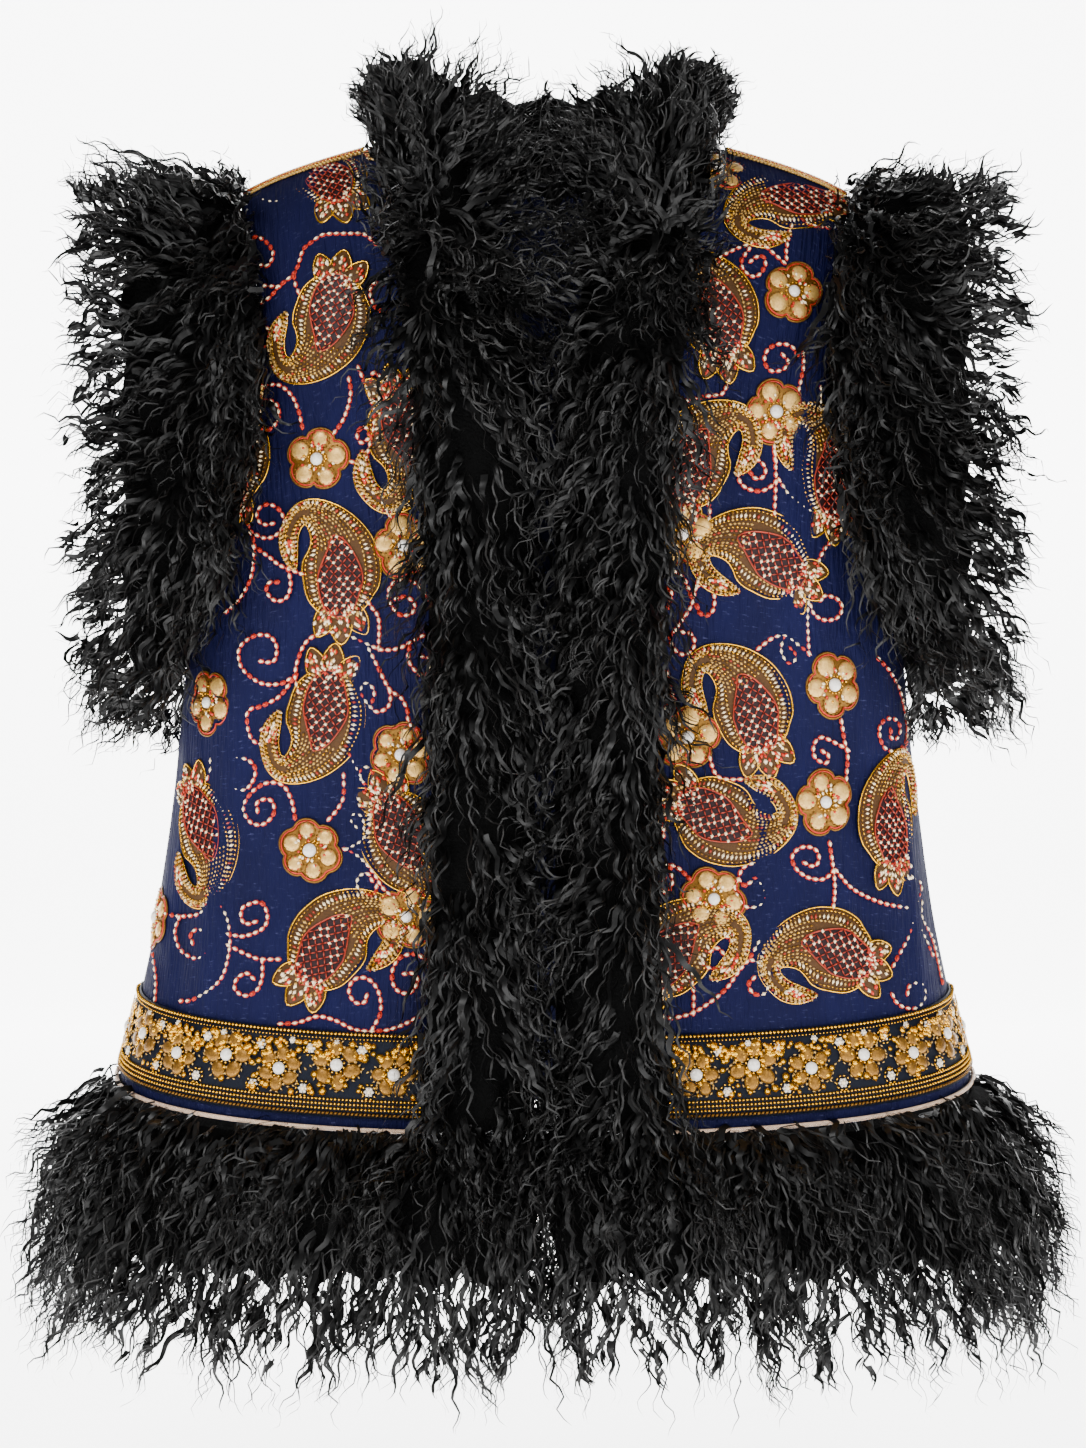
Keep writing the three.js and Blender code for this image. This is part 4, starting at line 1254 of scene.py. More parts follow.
    def heart(self, motif: Motif, spine: Array, side: Array, width: Array) -> None:
        """Lay the dark heart of a paisley with its copper lattice and cream beads."""
        core = np.arange(len(spine)) < len(spine) * 0.5
        core[0] = False
        line, out, wide = spine[core][:, :2], side[core], width[core] * 0.57
        taper = np.minimum(1, np.linspace(2.2, 0.0, len(line)))[:, None] ** 0.6
        wide = wide * taper + 0.3
        share = np.linspace(-1, 1, 7)[None, :, None]
        grid = line[:, None] + out[:, None] * wide[:, None] * share
        lift = 2.0 + 0.6 * (1 - share[..., 0] ** 2) + 0 * grid[..., 0]
        self.patch(motif, grid[..., 0], grid[..., 1], lift, MAROON)
        self.rim(motif, line, out * wide, 2.4, 0.7, COPPER)
        pitch = 6.0
        across, up = np.meshgrid(np.arange(-6, 7), np.arange(-10, 11))
        nodes = np.stack([(across + up % 2 / 2) * pitch, up * pitch * 0.55], axis=-1).reshape(-1, 2)
        some = self.rng.random(len(nodes)) < 0.6
        self.inside(motif, nodes[some] + self.rng.normal(0, 0.4, (int(some.sum()), 2)), line, wide,
                    0.8, (1.55, 1.25, 1.0), CREAM, 0.3)
        for lean in (1, -1):
            half = nodes + np.array([lean * pitch / 4, pitch * 0.55 / 2])
            self.inside(motif, half, line, wide, 0.8, (2.9, 0.5, 0.8), COPPER, lean * 0.83)

    def inside(self, motif: Motif, places: Array, line: Array, wide: Array, room: float,
               size: tuple, finish: Finish, turn: float) -> None:
        """Sew beads at those places that lie inside a paisley's heart."""
        gap = np.linalg.norm(places[:, None] - line[None], axis=2)
        near = gap.argmin(axis=1)
        held = places[wide[near, 0] - gap[np.arange(len(places)), near] > room]
        self.beads(motif, held[:, 0], held[:, 1], 2.9, size, finish, GRAIN, turn)

    def crown(self, motif: Motif) -> None:
        """Stitch the three leaves over a paisley and the leaf at the end of its hook."""
        h = motif.hook
        leaves = ((-10, 31, 0.5, 10.5, 7.0), (10, 31, -0.5, 10.5, 7.0),
                  (0, 34.5, 0, 11, 7.4), (32.8 * h, -14, 0.14 * h, 8.5, 3.3))
        for u, w, lean, long, wide in leaves:
            turn = lean + math.pi / 2
            loop = np.append(round_turn(20), math.tau)
            point = 1 + 0.22 * np.maximum(np.cos(loop), 0) ** 6
            across, up = rotated(long * np.cos(loop) * point, wide * np.sin(loop), turn)
            cloth = np.linspace(0.02, 1, 4)[:, None]
            # The underlay's dark bronze shows between the spots of beads, partly as painted shade
            self.patch(motif, u + cloth * across, w + cloth * up,
                       2.3 - 1.9 * cloth ** 3 + 0 * across, UNDERLAY_GAP_SHADE)
            self.cord(motif, u + across[:-1], w + up[:-1], 1.0, 0.8, GOLD_BEAD)
            spots = self.rng.uniform(-1, 1, (int(125 / self.pitch), 2))
            spots = spots[(spots ** 2).sum(axis=1) < 0.72] * np.array([long, wide])
            across, up = rotated(*spots.T, turn)
            tone = np.arange(len(spots)) % 5
            for pick, finish in ((tone < 2, CREAM), (tone == 2, PALE_GOLD), (tone > 2, CORAL)):
                self.beads(motif, u + across[pick], w + up[pick], 2.5, (1.8, 1.2, 0.9), finish,
                           GRAIN, turn)

    def vine(self, vine: Vine) -> None:
        """Stitch a vine in chain stitch, coral links round cream ones."""
        line = vine.line()
        arc, drop = self.locate(line[:, 0], line[:, 1])
        step = np.gradient(np.stack([arc, drop], axis=1), axis=0)
        kept = np.abs(self.trimmed(arc, line[:, 1]) - arc) < 0.5
        points, frames = BODY.frames(arc[kept], drop[kept], self.facing)
        step = step[kept]
        turned = self.turned(frames, np.arctan2(step[:, 1], step[:, 0]))
        shown = self.facing is Facing.FRONT
        shape, size = (LINK, (2.8, 1.8, 1.3)) if shown else (GRAIN, (2.9, 1.9, 0.8))
        self.mesh.stamp(shape, points + turned[:, 2] * 0.7, turned, np.array(size), CORAL)
        pale = self.rng.random(len(points)) < 0.85
        for pick, finish in ((pale, CREAM), (~pale, CORAL)):
            self.mesh.stamp(GRAIN, (points + turned[:, 2] * 1.4)[pick], turned[pick],
                            np.array([2.2, 1.15, 0.9]), finish)

    def dress(self, motifs: tuple[Motif, ...], vines: tuple[Vine, ...], name: str) -> Piece:
        """Stitch everything on the panel and make the object."""
        for motif in motifs:
            if motif.kind is Kind.PAISLEY:
                self.paisley(motif)
            else:
                self.flower(motif)
        for vine in vines:
            self.vine(vine)
        return settle(self.mesh.build(name))


def paisley(x: float, z: float, tilt: float, hook: int) -> Motif:
    """Return a paisley motif."""
    return Motif(Kind.PAISLEY, x, z, tilt, hook)


def flower(x: float, z: float, tilt: float) -> Motif:
    """Return a flower motif."""
    return Motif(Kind.FLOWER, x, z, tilt)


def stems(*paths: tuple[int, ...]) -> tuple[Vine, ...]:
    """Return plain vines, from paths that give a start and then each step, in x and z."""
    return tuple(Vine(np.cumsum(np.reshape(path, (-1, 2)), axis=0)) for path in paths)


LEFT_MOTIFS = (
    paisley(-139, -27, 196, -1), paisley(-136, -125, -12, -1), flower(-143, -213, 10),
    paisley(-86, -200, 15, -1), paisley(-196, -209, 175, 1), paisley(-129, -282, 182, 1),
    flower(-88, -268, 30), flower(-214, -366, 50), paisley(-139, -376, -10, -1),
    flower(-90, -399, 15), paisley(-216, -447, 30, -1), flower(-147, -459, 40),
    paisley(-88, -452, 25, 1), flower(-86, -500, 5), paisley(-134, -516, 145, -1),
    flower(-249, -504, 25),
)
RIGHT_MOTIFS = (
    flower(110, -25, 20), paisley(157, -44, -90, 1), flower(157, -106, 0),
    paisley(108, -119, 190, 1), flower(145, -183, 35), paisley(92, -214, 160, -1),
    paisley(181, -219, 182, 1), flower(86, -261, 20), paisley(138, -273, 235, 1),
    flower(182, -355, 45), paisley(129, -368, 197, 1), flower(89, -388, 10),
    flower(176, -429, 30), paisley(110, -440, 60, 1), paisley(219, -441, 185, -1),
    flower(105, -489, 50), paisley(80, -520, 140, -1), paisley(179, -522, 250, 1),
)
LEFT_VINES = stems(
    (-158, -34, -6, -3, -2, -6, -7, -2, -8, 2),
    (-194, -77, 2, 6, 7, 3, 8, -5, 4, -8, -4, -7, -8, 3),
    (-107, -76, -7, 6, -11, 1, -15, 0, -7, -4, -6, -5, -4, -12, -4, -6, -8, -6, -6, -7, -12, -6, -4, -7, 1,
     -8, 2, -8, 7, -4, 7, 4, 0, 7, -5, 4, -4, -3),
    (-169, -102, -9, 1, -8, 2, -7, 5, -4, 4),
    (-159, -96, 2, -8, 4, -6),
    (-103, -103, -4, 1, -3, -5, 3, -10, 8, -5),
    (-195, -150, 8, -3, 2, -8, -3, -8, -5, -1),
    (-153, -192, -2, 9, -5, 11, -9, 7, -11, -2, -7, -8, -1, -9, 6, -7, 8, -2, 6, 7, -2, 9, -8, 2, -3, -8),
    (-123, -163, 1, -10, -4, -14, -6, -9),
    (-117, -156, 5, -12, 4, -12, 1, -10, -2, -11, -3, -13, -1, -12),
    (-110, -172, 7, 0, 2, 7, -6, 6, -2, -5),
    (-107, -182, 7, -6),
    (-110, -198, -3, 5, -5, -4, 3, -6, 4, 2),
    (-121, -215, 8, -2),
    (-200, -240, 7, -6, 6, -10, 3, -9, 0, -10, -2, -12, -7, -13, -9, -8),
    (-186, -258, 9, -4, 8, 2, 5, 8, -5, 9, -8, 2, -5, -5, 3, -7, 7, 0),
    (-184, -267, 10, -7, 8, -6, 13, -5),
    (-162, -282, 2, -8, -2, -9, -7, -3, -6, 5, 0, 6, 6, 1),
    (-111, -232, 7, -6, 7, -11),
    (-113, -300, 5, -7, 4, -7, 0, -18),
    (-73, -301, -7, 9, -10, 3, -7, -5, 0, -9, 6, -8, 8, 1, 1, 7, -7, 3, -4, -1),
    (-155, -359, -2, 10, 2, 11, 5, 10, 8, 5, 10, 1, 11, -3, 11, -5, 8, -3, 11, 1, 11, 6, 12, 5),
    (-157, -349, -9, -5, -12, 0, -10, 6, -5, 7, 0, 10, 9, 7, 10, 0, 5, -7, -2, -9, -8, 0),
    (-159, -352, -8, -10, -11, -6, -9, -3, -1, -8, 3, -10, 7, -3, 8, 5, -2, 6, -6, -2),
    (-110, -333, 6, -12, 7, -13, 7, -5, 4, -8, 1, -8, 5, -4),
    (-97, -359, 0, -8, -7, -5, -6, 4, -5, 8, 2, 6, 6, -4, -1, -7),
    (-85, -332, 0, -8, 6, -8, 6, 0, 1, 8, -5, 3),
    (-115, -414, 0, 6, 5, 1, 3, -6, -2, -6, -4, 2),
    (-199, -420, 10, -1, 6, 8, -1, 8, -8, 4, -8, -2, -2, -5, 4, -4),
    (-212, -403, 0, -6, -2, -5),
    (-157, -438, -2, 10, -6, 10, -11, 1, -10, -7, -4, -9, 4, -8, 8, -2, 7, 6, 0, 8, -5, 2, -5, -2, 0, -5),
    (-126, -412, 0, -13, -4, -8, -5, -6),
    (-122, -399, 8, -16, 5, -13, 5, -4),
    (-109, -429, 0, -12, -5, -11, -10, -6),
    (-113, -445, -1, 7, -5, 2, -2, -4, 3, -4),
    (-125, -458, 8, -4, 9, -9, 7, -11, 7, -6),
    (-105, -481, -1, -4, -6, -1, -5, 5, 1, 6, 5, 2, 3, -4),
    (-242, -501, 10, -1, 13, 2, 9, 7),
    (-232, -503, -3, -9, 4, -11, 11, -5, 8, 5, 1, 7, -6, 6, -7, -2, 1, -6),
    (-206, -491, 6, -11, 2, -12, -1, -12, -4, -13, -9, -9, -11, -6, -7, -1),
    (-199, -512, 10, -1, 12, 5, 3, 8, -4, 8, -8, -1, -5, -4, 2, -8, 7, 1),
    (-199, -519, 11, -5, 9, -3, 12, 0),
    (-177, -528, 0, -10, -3, -8, -7, -4, -7, 3, 0, 6, 6, 5, 5, -3),
    (-249, -464, -3, -16, 3, -13, 5, -8),
    (-256, -515, 4, -10, 4, -17, 0, -13),
    (-165, -567, 11, 1, 12, 4, 11, -2, 14, -6, 18, 0, 14, 5, 11, 7, 4, 8, 0, 13, -3, 9, -7, 5, -10, -2, -5,
     -9, 2, -10, 8, -3, 6, 7, -3, 5, -5, 0),
    (-107, -569, 5, 11, -2, 13, -7, 7, -8, -1, -3, -7, 4, -7, 7, 1, 0, 3),
)
RIGHT_VINES = stems(
    (160, -54, -4, -11, -3, -14, 0, -5),
    (164, -58, 6, -3, 11, -1),
    (110, -85, 7, 4, 9, 4, 11, 1, 6, -4, 8, -7),
    (129, -79, -5, -8, 2, -7, 7, -3, 6, 7, -1, 6, -4, 0, -4, -3),
    (159, -146, -4, 5, -8, 1, -7, -4, -2, -7, 4, -6, 8, 1, 3, 5, -3, 4),
    (163, -146, 0, -9, -3, -13),
    (174, -167, 0, -11, -2, -11),
    (115, -164, -4, -8, -10, -2, -16, -3, -6, 6, -3, 14),
    (144, -205, 1, -9),
    (144, -208, 1, -15, -1, -24),
    (145, -227, -6, -5, -8, -1, -8, 4, -2, 8, 3, 6, 8, 2, 6, -5, -1, -6, -6, -1, -2, 3),
    (147, -226, 8, -11, 14, -9, 19, -4, 4, -6, -2, -3, -10, -6, -6, -8, -5, -15, -3, -12, -1, -13, 1, -22),
    (92, -259, 8, 4, 3, 8, -3, 11, -6, 2, -3, -6, 3, -7, 2, 4),
    (98, -282, -4, -13, -3, -11, -8, -12),
    (81, -284, 6, -5, 4, -10),
    (95, -293, 8, -1, 3, -7, -2, -9, -6, -1, -3, 5),
    (77, -306, 2, 7, -2, 4, -6, -1),
    (86, -322, 6, -2, 1, -7, -5, -5, -6, 2, -4, 8, 3, 5),
    (167, -305, 3, -6, 8, -3, 8, 3, 1, 8, -6, 4, -7, 0, 0, -2),
    (134, -332, 8, 6, 8, 2, 8, -5, 8, -6),
    (150, -325, -2, -8, 4, -8, 5, 2, -1, 6, -2, 1),
    (187, -378, 2, -12, 2, -10, -1, -14),
    (191, -396, -7, 4, -10, 4, -5, -5, 1, -8, 7, -3, 1, 6, -3, 1),
    (76, -348, 3, -12, 4, -9),
    (70, -363, 5, 1, 2, -5, -2, -3),
    (212, -338, 7, -7, 7, -11, 4, -13, 2, -14, -2, -18),
    (231, -391, -6, -6, -9, 2, -4, 10, 3, 7, 7, 2, 5, -6, -3, -7, -4, 1, 0, 4),
    (103, -401, 3, -9, 6, -4, 16, 0, 11, 1, 7, 7),
    (71, -412, 2, -14, 1, -19, -3, -13, -5, -9),
    (73, -450, -4, -2, -3, 5, 4, 6, 3, -4),
    (66, -466, 8, -1, 8, -2, 8, -7),
    (78, -469, 1, -10, -4, -6, -4, 5, 3, 4),
    (129, -467, -6, -3, -2, -6, -3, -5),
    (121, -477, 5, -4, 4, 5, 4, -3, 3, -8, -3, -6, -8, -1, -5, 5, -3, 7),
    (179, -455, 2, -15, 1, -13, -1, -11),
    (181, -472, -6, -5, -10, 1, -8, 6, -2, 8, 6, 5, 8, -1, 3, -6, -3, -5, -6, 2),
    (183, -472, 10, -11, 15, -8, 14, -4, 12, -1, 6, 11, -1, 4, -8, 4),
    (234, -497, -3, -16, -8, -14, -3, -5),
    (234, -504, 7, -11, 6, -12),
    (240, -494, 0, -10, 7, -12, 4, -15, 3, -14),
    (219, -551, 4, -6, 10, -3, 7, 5, 0, 8, -5, 3, -6, -3, 0, -3),
    (133, -516, -5, -9, -7, -8, -9, -12, -13, -10, -10, -5, -13, -2, -11, 5),
    (120, -533, -1, 13, -6, 8, -9, 2, -7, -5, -1, -10, 7, -7, 8, 2, 0, 7, -5, 4, -3, -2),
    (92, -559, 0, 14, -3, 10, -6, 4, -5, -4, 1, -8, 5, -1, 1, 4),
    (129, -527, 8, -4, 3, -8, -4, -9, -7, 1, -2, 6, 3, 3),
)


@dataclass(frozen=True)
class BackRepeat:
    """The hidden back's motifs in alternate rows, with a scrolling vine between them.

    A vine's sizes are steps from its motif's middle, x towards the garment's middle.
    """

    top: float = -96
    pitch: float = 98
    rows: int = 5
    spacing: float = 92
    eye: tuple[float, float] = (40, -6)
    stem: tuple[tuple[float, float], ...] = ((21, -20), (29, -32), (44, -30), (53, -9))

    def motifs(self) -> tuple[Motif, ...]:
        """Return flowers and paisleys in alternate rows."""
        placed = []
        for row in range(self.rows):
            offsets = (-1.5, -0.5, 0.5, 1.5) if row % 2 == 0 else (-2, -1, 0, 1, 2)
            for column in offsets:
                x, z = column * self.spacing, self.top - row * self.pitch
                if (row + int(math.floor(column + 9 + 0.5))) % 2:
                    placed.append(flower(x, z, 20 * row))
                else:
                    tilt = column * 24 + (180 if row % 3 == 1 else 0)
                    placed.append(paisley(x, z, tilt, -1 if column < 0 else 1))
        return tuple(placed)

    def vines(self) -> tuple[Vine, ...]:
        """Return a scrolling vine between each motif and its lower neighbour."""
        made = []
        for motif in self.motifs():
            way = 1 if motif.x < 0 else -1
            eye = (motif.x + way * self.eye[0], motif.z + self.eye[1])
            made.append(Vine([(motif.x + way * x, motif.z + z) for x, z in self.stem], eye, way))
        return tuple(made)


@dataclass(frozen=True)
class Border:
    """The gold border above a panel's hem, with its beads, flowers and piping."""

    name: str
    panel: Panel
    nodes: tuple[str, ...]
    seed: int
    bottom: float = 9.0
    top: float = 62.0
    clearance: float = 0.7
    thickness: float = 1.2
    pitch: float = 36.0
    flower_radius: float = 15.5
    petals: int = 6
    piping_radius: float = 1.45
    bead_rows: tuple[tuple[float, float, float], ...] = (
        (60.2, 1.4, 2.6), (57.3, 0.8, 2.4), (20.0, 1.25, 2.4), (17.2, 1.25, 2.4), (14.4, 1.25, 2.4))

    def middle(self) -> tuple[Array, Array]:
        """Return shares across the panel, and the points of the border's middle at them."""
        ends = (0.012, 0.99) if self.panel.side else (0.006, 0.994)
        s = np.linspace(*ends, 200)
        return s, self.panel.surface(s, self.panel.above_hem((self.top + self.bottom) / 2))

    @property
    def raised(self) -> Panel:
        """The border's outer face."""
        return Panel(self.panel.side, self.clearance + self.thickness)

    def build(self) -> Piece:
        """Build the border's satin ground."""
        top, bottom = (float(self.panel.above_hem(height)) for height in (self.top, self.bottom))
        return sheet_object(self.name + "_ground", self.raised, 60 if self.panel.side else 120, 6,
                            top, bottom, lambda arc, z, s: 0 * arc, (GROUND, CREPE_INSIDE),
                            self.thickness)

    def spots(self, run: Array, height: Array) -> tuple[Array, Array]:
        """Find places on the border from a run along it and a height above the hem."""
        s, middle = self.middle()
        share = np.interp(run, running(middle), s)
        return self.raised.frames(share, self.panel.above_hem(height))

    @property
    def length(self) -> float:
        """The border's length along its middle."""
        return float(np.linalg.norm(np.diff(self.middle()[1], axis=0), axis=1).sum())

    def stamp(self, mesh: Mesh, run: Array, height: Array, lift: float, size: tuple,
              finish: Finish, shape: Shape, turn: Array = 0.0) -> None:
        """Add beads, stones or sequins at places of the border."""
        run, height = paired(run, height)
        points, frames = self.spots(run.ravel(), height.ravel())
        turned = Needlework.turned(frames, np.broadcast_to(turn, run.shape).ravel())
        mesh.stamp(shape, points + frames[:, 2] * lift, turned, size, finish)

    def circle(self, mesh: Mesh, run: float, height: float, radius: float, turn: Array,
               lift: float, size: tuple, finish: Finish, shape: Shape) -> None:
        """Add beads in a circle round a place of the border, each turned outwards."""
        across, up = polar(radius, turn)
        self.stamp(mesh, run + across, height + up, lift, size, finish, shape, turn)

    def edging(self, mesh: Mesh) -> None:
        """Sew the rows of gold beads along the top and bottom."""
        for height, size, pitch in self.bead_rows:
            run = np.arange(1, self.length - 1, pitch if self.panel.side else pitch * 1.4)
            self.stamp(mesh, run, height, size * 0.8, (size, size, size), GOLD_BEAD, GRAIN)
        run = np.arange(1, self.length - 1, 2.6)
        self.stamp(mesh, run, 11.4, 1.0, (1.9, 1.1, 1.1), BRONZE, GRAIN, 0.6)

    def flowers(self, mesh: Mesh, rng: Random) -> None:
        """Stitch the row of gold flowers."""
        count = int(round(self.length / self.pitch))
        places = (np.arange(count) + 0.5) * self.length / count
        for number, run in enumerate(places):
            radius = self.flower_radius * (1.06 if number % 2 else 0.94)
            height = 38.5 + (2.5 if number % 2 else -2.0)
            heads = (np.arange(self.petals) + 0.3 * number) / self.petals * math.tau
            self.circle(mesh, run, height, radius * 0.63, heads, 0.8,
                        (radius * 0.37, radius * 0.3, 1.7), BRONZE, BALL)
            spread = np.linspace(-2.3, 2.3, 8)
            turn = (heads[:, None] + spread[None]).ravel()
            middle = np.repeat(heads, len(spread))
            for reach, finish in ((0.37, PALE_GOLD), (0.2, GOLD_BEAD)):
                self.stamp(mesh, run + radius * (0.63 * np.cos(middle) + reach * np.cos(turn)),
                           height + radius * (0.63 * np.sin(middle) + reach * np.sin(turn)), 1.5,
                           (0.6, 1.35, 0.7), finish, GRAIN, turn)
            self.circle(mesh, run, height, 5.0, round_turn(11), 2.3, (0.9, 1.3, 0.9), GOLD_BEAD,
                        GRAIN)
            self.stamp(mesh, run, height, 2.2, (4.1, 4.1, 2.2), PEARL, BALL)
        for number, run in enumerate((places[1:] + places[:-1]) / 2):
            self.filling(mesh, rng, number, float(run))

    def filling(self, mesh: Mesh, rng: Random, number: int, run: float) -> None:
        """Sew stones in rings of beads and a curling cord between two flowers."""
        for height, size in ((50.5, 3.6), (25.5, 3.4)):
            here = run + rng.uniform(-4, 4)
            self.circle(mesh, here, height, size + 1.1, round_turn(10), 0.9, (0.8, 1.4, 0.9),
                        GOLD_BEAD, GRAIN)
            self.stone(mesh, here, height, size)
        side = 1 if number % 2 else -1
        coil = np.linspace(0, 1, 16)
        self.stamp(mesh, run + side * 9 * np.sin(math.tau * coil) * (1 - 0.3 * coil),
                   mix(24, 53, coil), 0.6, (1.5, 0.7, 0.8), PALE_GOLD, GRAIN,
                   math.pi / 2 - side * 0.9 * np.cos(math.tau * coil))
        place = run + self.pitch / 2 + rng.uniform(-6, 6)
        if 4 < place < self.length - 4:
            self.stone(mesh, place, 54.5, 2.4)

    def stone(self, mesh: Mesh, run: float, height: float, size: float) -> None:
        """Sew a stone cut in small facets."""
        self.circle(mesh, run, height, 0.6 * size, round_turn(6), 1.3,
                    (size * 0.42, size * 0.42, 1.1), PEARL, GRAIN)
        self.stamp(mesh, run, height, 1.6, (size * 0.5, size * 0.5, 1.2), CREAM, BEAD)

    def sequins(self, mesh: Mesh, rng: Random) -> None:
        """Scatter round gold sequins, more of them along the upper half."""
        count = int(self.length * (1.15 if self.panel.side else 0.5))
        run = rng.uniform(2, self.length - 2, count)
        height = np.where(rng.random(count) < 0.6, rng.uniform(44, 54.5, count),
                          rng.uniform(22.5, 54, count))
        lean = rng.uniform(0, math.tau, count)
        size = rng.uniform(1.5, 2.9, count)[:, None] * np.array([1.0, 1.0, 0.3])
        self.stamp(mesh, run, height, 1.9, size, GOLD_BEAD, SEQUIN, lean)

    def piping(self) -> Piece:
        """Make the twisted piping along the hem's lower edge, with a map along its length."""
        s = np.linspace(0.01, 0.995, 140 if self.panel.side else 260)
        points, frames = Panel(self.panel.side, 0.4 + self.piping_radius).frames(s, 0.999)
        points[:, 2] += self.piping_radius * 0.9
        mesh = Mesh((PIPING,))
        add_tube(mesh, points, frames[:, 2], self.piping_radius, PIPING, sides=8)
        piece = mesh.build(self.name + "_piping")
        run = running(points)
        uv = piece.data.uv_layers.new(name="cut")
        corner = np.empty(len(piece.data.loops), dtype=np.int32)
        piece.data.loops.foreach_get("vertex_index", corner)
        place = np.stack([run[corner // 8], (corner % 8) * 1.2], axis=1)
        uv.data.foreach_set("uv", place.astype(np.float32).ravel())
        return piece

    def dress(self) -> tuple[Piece, ...]:
        """Build the border's ground, all that is sewn on it, and the piping below it."""
        rng = np.random.default_rng(self.seed)
        ground = self.build()
        mesh = Mesh(NEEDLE_FINISHES)
        self.edging(mesh)
        self.flowers(mesh, rng)
        self.sequins(mesh, rng)
        work = mesh.build(self.name + "_needlework")
        cord = self.piping()
        settle(ground, self.nodes[0])
        settle(work)
        settle(cord, self.nodes[1])
        return ground, work, cord


@dataclass(frozen=True)
class ShoulderTrim:
    """The strip of gold beads just below a shoulder seam."""

    side: int
    node: str
    rows: tuple[float, ...] = (0.014, 0.021, 0.028, 0.035, 0.042, 0.049)

    def build(self) -> Piece:
        """Build the rows of beads."""
        panel = Panel(self.side, 1.4)
        mesh = Mesh(NEEDLE_FINISHES)
        for number, v in enumerate(self.rows):
            s = np.arange(0.15, 0.965, 0.021) + 0.01 * (number % 2)
            points, frames = panel.frames(s, v)
            finish = (GOLD_BEAD, CREAM, GOLD_BEAD, CORAL, GOLD_BEAD, PALE_GOLD)[number]
            mesh.stamp(BEAD, points, frames, np.array([1.5, 1.1, 1.1]), finish)
        return mesh.build(f"shoulder_beads_{'left' if self.side < 0 else 'right'}")

    def dress(self) -> Piece:
        """Build the trim in place of its solid."""
        return settle(self.build(), self.node)


@dataclass(frozen=True)
class HangerLoop:
    """The loop of cord inside the back neck."""

    node: str = "hanger_loop"
    width: float = 22.0
    drop: float = 13.0
    top: float = -12.0
    radius: float = 1.2

    def build(self) -> Piece:
        """Build the loop along its solid's line."""
        low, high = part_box(self.node)
        turn = np.linspace(0, math.pi, 33)
        y = (low.y + high.y) / 2 / MM
        line = rows(-self.width / 2 * np.cos(turn), y, self.top - self.drop * np.sin(turn) ** 0.7)
        mesh = Mesh((LOOP_CORD,))
        add_tube(mesh, line, np.tile([0.0, -1.0, 0.0], (33, 1)), self.radius, LOOP_CORD, sides=8)
        return mesh.build("loop_of_cord")

    def dress(self) -> Piece:
        """Build the loop in place of its solid."""
        return settle(self.build(), self.node)


# Fur


